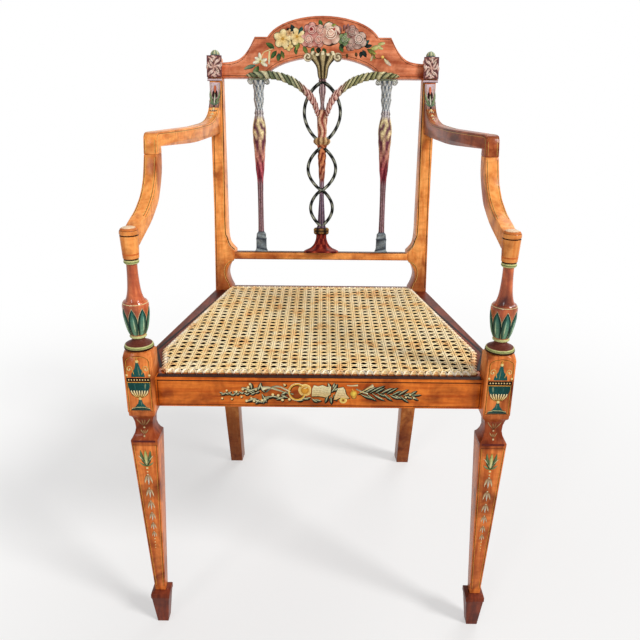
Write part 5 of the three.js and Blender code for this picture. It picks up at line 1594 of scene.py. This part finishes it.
for name, side in SIDES.items():
    brush = Brush(cup_canvas)
    for i in range(8):
        u = math.tau * CUP_REACH * (i + 0.06) / 8
        half = math.tau * CUP_REACH / 16
        brush.leaf((u, 494.4), 90, 40, half * 1.08, blend(GREEN, PALE, 0.5), linear(226, 218, 176), 0, CUP_LEAF, 0.0, 0.04, 0.12)
        brush.leaf((u, 494.6), 90, 39, half * 0.99, linear(20, 44, 42), linear(24, 52, 50), 0, CUP_LEAF, 0.0, 0.04, 0.26)
        brush.leaf((u - 0.5, 494.8), 90, 37.5, half * 0.8, linear(120, 160, 128), linear(44, 104, 98), 0, CUP_LEAF, 0.5, 0.5, 0.3)
        brush.leaf((u - 2, 500), 87, 24, 1.4, linear(206, 214, 168), linear(120, 172, 150), 0, LEAF, 0.1, 0.5, 0.5)
    brush.line([(math.tau * CUP_REACH * i / 48, 539.2) for i in range(49)], 0.8, PALE, 0.3)
    brush.done(f"cup_leaves_{name}", leg_frame(side))
print("eight leaves on each cup")

# %% [markdown]
# ## The front rail
#
# A trophy of music lies along the rail among sprays of laurel: a horn, a tambourine with a gold rim,
# sheets of music and pipes.

# %% Rail spray
FRONT_FACE = 12
SHADE = linear(46, 36, 18)


def spray_place(u, v, w):
    """Both ends are drawn a little wide, so they are drawn in towards the middle."""
    drawn_in = 0.95 * u if u < -50 else 50 + 0.92 * (u - 50) if u > 50 else u + 2.5 * within(u, -51, -10, 4)
    return Vector((drawn_in, FRONT_FACE - w, v + 5))


spray = Brush(spray_place)


def laurel(place, angle, length, half, tip=CREAM, bend=12):
    """A leaf with its own shadow: a dark stroke below, a green one over it and a light along one side."""
    spray.leaf((place[0] + 0.6, place[1] - 1), angle, length * 1.14, half * 1.8, SHADE, BLACK, bend, LEAF, 0, 0.2)
    spray.leaf(place, angle, length * 1.08, half * 1.15, linear(50, 72, 62), blend(BLUE_GREEN, tip, 0.25), bend, LEAF, 0.5, 0.5)
    spray.leaf((place[0], place[1] + 0.5), angle, length * 0.96, half * 0.42, blend(SAGE, CREAM, 0.3), blend(tip, CREAM, 0.5), bend,
               LEAF, 0, 0.8)


def berry(place, radius, tone=CREAM):
    spray.dab((place[0] + 0.5, place[1] - 0.8), radius * 1.5, SHADE, BLACK, 0.2, 8)
    spray.dab(place, radius * 1.15, tone, GOLD, 0.6, 8)


random.seed(7)
spray.line(curved([(-146, 398.5), (-126, 400), (-112, 403), (-98, 401), (-84, 404)], 12), 1.2, SHADE)
for i in range(15):
    u = -144 + i * 3.6
    v = 399.5 + 1.5 * math.sin(i) + i * 0.15
    laurel((u, v), 90 + (62 if i % 2 else -62), 6 + 4 * random.random(), 1.5)
    if i % 2 == 0:
        berry((u + 1, v + (5.5 if i % 4 else -5)), 1.6)
for u, v, angle, length in ((-108, 405, 20, 22), (-102, 396, 340, 20), (-94, 404, 160, 20), (-92, 395, 200, 16),
                            (-90, 407, 70, 13), (-84, 402, 300, 14), (-78, 398, 250, 11), (-80, 404, 120, 14),
                            (-74, 395, 200, 12), (-99, 409, 100, 10), (-88, 393, 230, 8)):
    laurel((u, v), angle, length, 2.4)
for place in ((-104, 412), (-101, 417), (-96, 391), (-107, 391), (-112, 409), (-84, 392)):
    berry(place, 2.1)
spray.stroke(curved([(-84, 410), (-74, 412), (-62, 409), (-50, 405), (-38, 402)], 8),
             [4.6, 2.8, 2, 1.7, 1.6, 1.4, 1.3, 1.2, 1], CREAM, SAGE, 0.45, 0.7)
spray.stroke(curved([(-78, 405), (-68, 413), (-56, 413), (-42, 406)], 6), [1.6, 1.5, 1.6, 1.8, 1.5, 1.2, 1],
             BLUE_GREEN, CREAM, 0.4, 0.8)
for u, v, angle, length in ((-66, 398, 190, 14), (-58, 396, 170, 13), (-52, 397, 200, 11), (-62, 394, 20, 12),
                            (-46, 396, 160, 10), (-56, 401, 30, 10)):
    laurel((u, v), angle, length, 2.1)
for place in ((-68, 401), (-60, 400), (-50, 416), (-54, 393), (-44, 394)):
    berry(place, 2.1)
ring = [Vector((-33 + 11.2 * math.cos(math.tau * i / 24), 405.5 + 12 * math.sin(math.tau * i / 24))) for i in range(25)]
spray.line([p + Vector((0.8, -1.2)) for p in ring], 3.4, SHADE, 0.3)
spray.line(ring, 3.2, GOLD, 0.8)
spray.line([Vector((-33, 405.5)) + (p - Vector((-33, 405.5))) * 0.84 for p in ring], 0.8, BROWN, 0.9)
spray.line([Vector((-33, 405.5)) + (p - Vector((-33, 405.5))) * 1.1 for p in ring], 0.8, CREAM, 0.7)
spray.dab((-22, 408.5), 9.6, linear(196, 120, 40), linear(244, 214, 130), 1.0, 20)
spray.dab((-22, 408.5), 7.2, linear(226, 160, 62), linear(140, 76, 26), 1.3, 18)
spray.leaf((-25, 411), 20, 7, 1.4, YELLOW, CREAM, 10, LEAF, 0.2, 1.6)
for u, v, angle in ((-14, 397, 200), (-18, 394, 170), (-24, 393, 190), (-10, 395, 330), (-6, 394, 350)):
    laurel((u, v), angle, 9, 1.8, PALE)
SHEET = [(-10.5, 399), (-9.5, 411), (-7, 416.5), (-1, 415), (5, 416.8), (12, 414), (17, 415), (16, 402), (10, 397.5), (0, 399.5)]
spray.patch([(u + 1, v - 1.4) for u, v in SHEET], lambda u, v: SHADE, 0.3)
spray.patch(SHEET, lambda u, v: blend(linear(196, 164, 104), CREAM, (v - 396) / 18), 0.6)
spray.line([Vector(p) for p in [*SHEET, SHEET[0]]], 0.6, SHADE, 0.75)
for v in (403, 406, 409, 412):
    spray.line(curved([(-8, v), (-1, v - 0.8), (6, v + 0.6), (13, v - 0.4)], 8), 0.45, BROWN, 0.8)
for u, v, angle, length in ((14, 404, 95, 15), (15, 402, 120, 13), (17, 405, 60, 15), (13, 400, 250, 11),
                            (17, 399, 275, 11), (20, 402, 300, 10), (11, 404, 150, 10), (20, 408, 30, 9),
                            (15, 412, 110, 8), (19, 412, 75, 8)):
    laurel((u, v), angle, length, 2.2, SAGE if angle > 200 else CREAM, 14)
BELL = [(20.5, 394.5), (23, 403), (27, 412.5), (34, 414), (36.5, 410), (37.5, 404), (43, 396.8), (38, 396), (30, 397.6), (24, 394)]
spray.patch([(u + 1.2, v - 1.2) for u, v in BELL], lambda u, v: SHADE, 0.3)
spray.patch(BELL, lambda u, v: blend(linear(206, 160, 96), CREAM, (v - 393) / 16), 0.8)
spray.line([Vector(p) for p in [*BELL, BELL[0]]], 0.8, SHADE, 0.95)
for v in (401, 405, 409):
    spray.line([(26, v), (36, v - 0.6)], 0.45, BROWN, 1.0)
spray.dab((34, 393.8), 5.6, linear(214, 170, 74), linear(246, 224, 140), 1.1, 14)
spray.dab((34, 393.6), 3.4, BROWN, GOLD, 1.3, 12)
spray.dab((48.5, 403.5), 5.4, linear(240, 208, 88), linear(176, 118, 44), 0.9, 14)
spray.dab((49, 399.2), 4.2, GOLD, BROWN, 0.9, 12)
spray.line([(49, 406), (46, 411)], 1.4, GOLD, 0.8)
spray.stroke([(39, 416.4), (46, 416), (53, 416.6), (54.5, 416.8)], [0.8, 1.0, 1.5, 2.2], CREAM, PALE, 0.4, 0.7)
spray.stroke([(58, 405), (66, 410), (73, 414), (78, 416.4)], [0.9, 1.3, 1.9, 3.1], GOLD, CREAM, 0.35, 0.8)
spray.stroke([(52, 411), (60, 407), (70, 404)], [1, 1.2, 1.2], linear(150, 160, 130), CREAM, 0.4, 0.6)
spray.line(curved([(54, 402), (80, 404), (104, 405), (128, 402.5), (146, 402)], 16), 1.2, SHADE)
for i in range(10):
    u, reach = 55 + i * 8.6, (25, 21, 27, 19, 24)[i % 5] * (1 - 0.05 * i)
    v = 402.6 + 2 * math.sin(i / 1.7)
    laurel((u, v), 28 + 14 * math.sin(3.1 * i), reach, 1.9, CREAM if i % 3 == 1 else SAGE, -16)
    laurel((u + 4, v), 334 + 10 * math.cos(2.3 * i), reach * 0.86, 1.7, CREAM if i % 3 == 2 else SAGE, 16)
for place in ((134, 403), (128, 399), (140, 398)):
    berry(place, 1.8)
laurel((136, 402), 5, 14, 1.4, SAGE, 8)
spray.done("rail_spray", Matrix.Identity(4))
print("spray from -146 to 157 mm")

# %% Lines on the rails
rail_lines = Brush(lambda u, v, w: Vector((u, FRONT_FACE - w, v)))
for v in (389.4, 426.4):
    rail_lines.line([(-225, v), (225, v)], 1.5 if v > 400 else 1.1, DARK)
for u in (-225, 225):
    rail_lines.line([(u, 389.4), (u, 426.4)], 1.1, DARK)
rail_lines.done("front_rail_lines", Matrix.Identity(4))
seat_lines = Brush(lambda u, v, w: Vector((u, v, 431 + w)))
seat_lines.line([(-226, 20.6), (226, 20.6)], 12.4, linear(52, 26, 22), 0.15)
for hand in (LEFT, RIGHT):
    seat_lines.line([(hand * 226.6, 46), (hand * 247.6, 109), (hand * 178.6, 404)], 5.6, linear(36, 20, 18), 0.15)
    seat_lines.line([(hand * 262.8, 46), (hand * 203.2, 398)], 1.6, BROWN, 0.12)
seat_lines.done("seat_shadow_lines", Matrix.Identity(4))
print("rail lines done")

# %% [markdown]
# ## Lines and husks on the arms and posts
#
# A thin pair of lines, one dark and one pale, runs along both edges of the arms and up the posts. Where
# the arm climbs the post it carries a green tulip and a few husks on a darker ground.

# %% A track along the arm
ARM_CORNER = between((98, 721.2), (123.5, 750), [(0, 0), (0.06, 0.4), (0.14, 0.8), (0.3, 0.96), (0.55, 1)])
TIP_TOP = SEAT_HEIGHT + CREST_FOOT * math.cos(RAKE) - 7
TIP_FRONT = arm_length + math.tan(RAKE) * (TIP_TOP - ARM_TOP) - 6
SWEEP_START, SWEEP_FOOT = TIP_FRONT - 94, ARM_TOP - 7
ARM_TOP_LINE = between((123.5, 750), (SWEEP_START, SWEEP_FOOT), [(0, 0.06), (0.38, 0.62), (0.7, 0.97), (1, 1)])
ARM_SWEEP = between((SWEEP_START, SWEEP_FOOT), (TIP_FRONT, TIP_TOP), [
    (0, 0), (0.3, 0.02), (0.56, 0.1), (0.76, 0.26), (0.9, 0.52), (0.97, 0.78), (1, 1)])
arm_line = [*map(Vector, ARM_CORNER), *curved(ARM_TOP_LINE, 20), *curved(ARM_SWEEP, 40)[1:]]


class Track:
    """A line in the arm's side view, which can be walked by its length."""
    def __init__(self, line):
        self.line, self.lengths = line, [0.0]
        for a, b in zip(line, line[1:]):
            self.lengths.append(self.lengths[-1] + (b - a).length)
        self.end = self.lengths[-1]

    def place(self, walked, lift=0.0):
        walked = max(0.0, min(self.end - 1e-6, walked))
        k = next(i for i, length in enumerate(self.lengths[1:]) if walked < length)
        a, b = self.line[k], self.line[k + 1]
        ahead = (b - a).normalized()
        spot = a + ahead * (walked - self.lengths[k])
        return spot + Vector((-ahead.y, ahead.x)) * lift


arm_track = Track(arm_line)
support_track = Track([p for p in support_front if p.y > 646])


def top_canvas(track):
    def canvas(u, v, w):
        spot = track.place(v, w)
        return Vector((u, spot.x, spot.y))
    return canvas


def flank_canvas(track, hand):
    """The side of the arm: u is measured inwards from the edge."""
    def canvas(u, v, w):
        spot = track.place(v, -u)
        return Vector((hand * (ARM_WIDTH / 2 + w), spot.x, spot.y))
    return canvas


def steps_to(start, end, step=6.0):
    count = max(2, round((end - start) / step))
    return [start + (end - start) * i / count for i in range(count + 1)]


for name, side in SIDES.items():
    for label, track in (("arm", arm_track), ("support", support_track)):
        brush = Brush(top_canvas(track))
        for hand in (LEFT, RIGHT):
            brush.line([(hand * 7.4, v) for v in steps_to(1, track.end - 3)], 0.7, DARK)
            brush.line([(hand * 6.5, v) for v in steps_to(2, track.end - 4)], 0.5, YELLOW)
        brush.done(f"{label}_top_lines_{name}", arm_frame(side))
        for hand, word in ((LEFT, "inner"), (RIGHT, "outer")):
            brush = Brush(flank_canvas(track, hand))
            brush.line([(2.4, v) for v in steps_to(3, track.end - 22)], 0.7, DARK)
            brush.line([(3.4, v) for v in steps_to(3, track.end - 24)], 0.5, YELLOW)
            brush.done(f"{label}_{word}_lines_{name}", arm_frame(side))
print("arm track", round(arm_track.end), "mm long, support", round(support_track.end))

# %% Husks where the arm climbs the post
for name, side in SIDES.items():
    brush = Brush(top_canvas(arm_track))
    end = arm_track.end
    brush.stroke([(0, end - 50), (0, end - 44), (0, end - 30), (0, end - 14), (0, end - 8)], [1.5, 4.6, 5.4, 4.4, 1.5], BLACK, DARK, 0, 0.15)
    for hand in (LEFT, RIGHT):
        brush.leaf((0, end - 44), 90 - hand * 16, 30, 2.7, linear(92, 122, 84), SAGE, hand * 30, LEAF, 0.35, 0.7)
        brush.leaf((0, end - 44), 90 - hand * 46, 14, 2, TEAL, SAGE, hand * 24, LEAF, 0.35, 0.6)
    ground = [(0, end - 58 + 4 * i) for i in range(15)]
    brush.stroke(ground, [5, 8, *[9.4] * 13], linear(120, 62, 40), linear(214, 190, 196), 0, 0.02, 0.12)
    brush.leaf((0, end - 43), 90, 23, 2.1, WHITE, SAGE, 0, LEAF, 0.35, 0.9)
    brush.leaf((0, end - 20), 90, 13, 3.2, ROSE, ORANGE, 0, PETAL, 0.35, 0.7)
    for top, tall in ((end - 48, 11), (end - 61, 9), (end - 72, 8)):
        for hand in (LEFT, RIGHT):
            brush.leaf((0, top), 270 + hand * 20, tall, 1.4, GOLD, CREAM, -hand * 20, HUSK, 0.2, 0.5)
        brush.leaf((0, top), 270, tall, 1.2, PALE, WHITE, 0, HUSK, 0.2, 0.7)
    for place in (end - 81, end - 86, end - 90):
        brush.dab((0, place), 1.1, CREAM, GOLD, 0.5, 7)
    brush.done(f"arm_husks_{name}", arm_frame(side))
print("arm husks end at", round(TIP_TOP))

# %% Lines and carving on the posts


def post_inner(h):
    return 181.2 + 4.1 * h / 427


post_brush = {}
for name, side in SIDES.items():
    brush = Brush(lambda u, v, w: Vector((u, -w, v)))
    inner = [(184.4, 386), (184.0, 300), (183.9, 200), (183.8, 118), (180, 100), (174.6, 86.5), (166, 78)]
    line = [(184.7, 386), *[tuple(p) for p in curved(inner[1:], 24)]]
    # The dark line along the inner edge is stringing widened into painted shade along the post's inner side.
    brush.line([(u - 0.3, v) for u, v in line], 1.7, DARK)
    brush.line([(u + 1.3, v + (0.8 if v < 110 else 0)) for u, v in line], 0.6, YELLOW)
    hollow = curved([(167.5, 57), (176, 54), (183, 46), (185.4, 36), (183.4, 24), (177.6, 12), (175, 4)], 24)
    brush.line([tuple(p) for p in hollow], 0.9, DARK)
    brush.line([(p.x + 1.1, p.y) for p in hollow], 0.6, YELLOW)
    brush.line([(201, v) for v in (6, 60, 150, 300, 384)], 1.4, DARK)
    brush.done(f"post_lines_{name}", mirrored(side) @ back_frame)
    carving = Brush(lambda u, v, w: Vector((u, -7 - w, v)))
    carving.patch([(183.4, 391.2), (210.6, 391.2), (210.6, 429.2), (183.4, 429.2)],
                  lambda u, v: linear(112, 72, 74), 0.12)
    for spot, angle, length in (((197, 409), 60, 15), ((197, 409), 120, 15), ((197, 411), 240, 15), ((197, 411), 300, 15),
                                ((196, 410), 180, 9), ((198, 410), 0, 9), ((197, 418), 90, 7), ((197, 402), 270, 7),
                                ((186, 394), 50, 12), ((208, 394), 130, 12), ((186, 426.5), 310, 12), ((208, 426.5), 230, 12),
                                ((185, 404), 80, 11), ((209, 404), 100, 11), ((185, 418), 280, 9), ((209, 418), 260, 9),
                                ((192, 393), 20, 9), ((203, 393), 160, 9), ((192, 427.6), 340, 9), ((203, 427.6), 200, 9)):
        carving.leaf(spot, angle, length, 2.5, linear(200, 140, 128), linear(250, 228, 216), 34, PETAL, 0.4, 1.0)
    carving.dab((197, 410), 2.4, linear(240, 216, 202), ROSE, 1.4)
    carving.done(f"crown_carving_{name}", mirrored(side) @ back_frame, carved_paint)
    mould = Brush(lambda u, v, w: Vector((u, -4.5 - w, v)))
    mould.line([(183.6, 387.4), (210.4, 387.4)], 4.6, linear(202, 182, 190), 0.4)
    mould.line([(183.6, 390.4), (210.4, 390.4)], 1.3, PLUM, 0.5)
    mould.line([(183.6, 385.6), (210.4, 385.6)], 0.9, PLUM, 0.6)
    mould.done(f"crown_moulding_{name}", mirrored(side) @ back_frame)
shoe_lines = Brush(lambda u, v, w: Vector((u, -w, v)))
shoe_lines.line([(-164, 73), (164, 73)], 1.1, DARK)
shoe_lines.line([(-164, 60.6), (164, 60.6)], 0.7, DARK)
shoe_lines.done("shoe_rail_lines", back_frame)
# A dark patch over the top of the shoe rail makes its top darker.
shoe_top = Brush(lambda u, v, w: Vector((u, v, SHOE_TOP + w)))
shoe_top.patch([(-163, 0.6), (163, 0.6), (161.5, 25), (-161.5, 25)], lambda u, v: DARK, 0.12)
shoe_top.done("shoe_rail_top_dark_patch", back_frame)
print("posts and shoe rail lined")
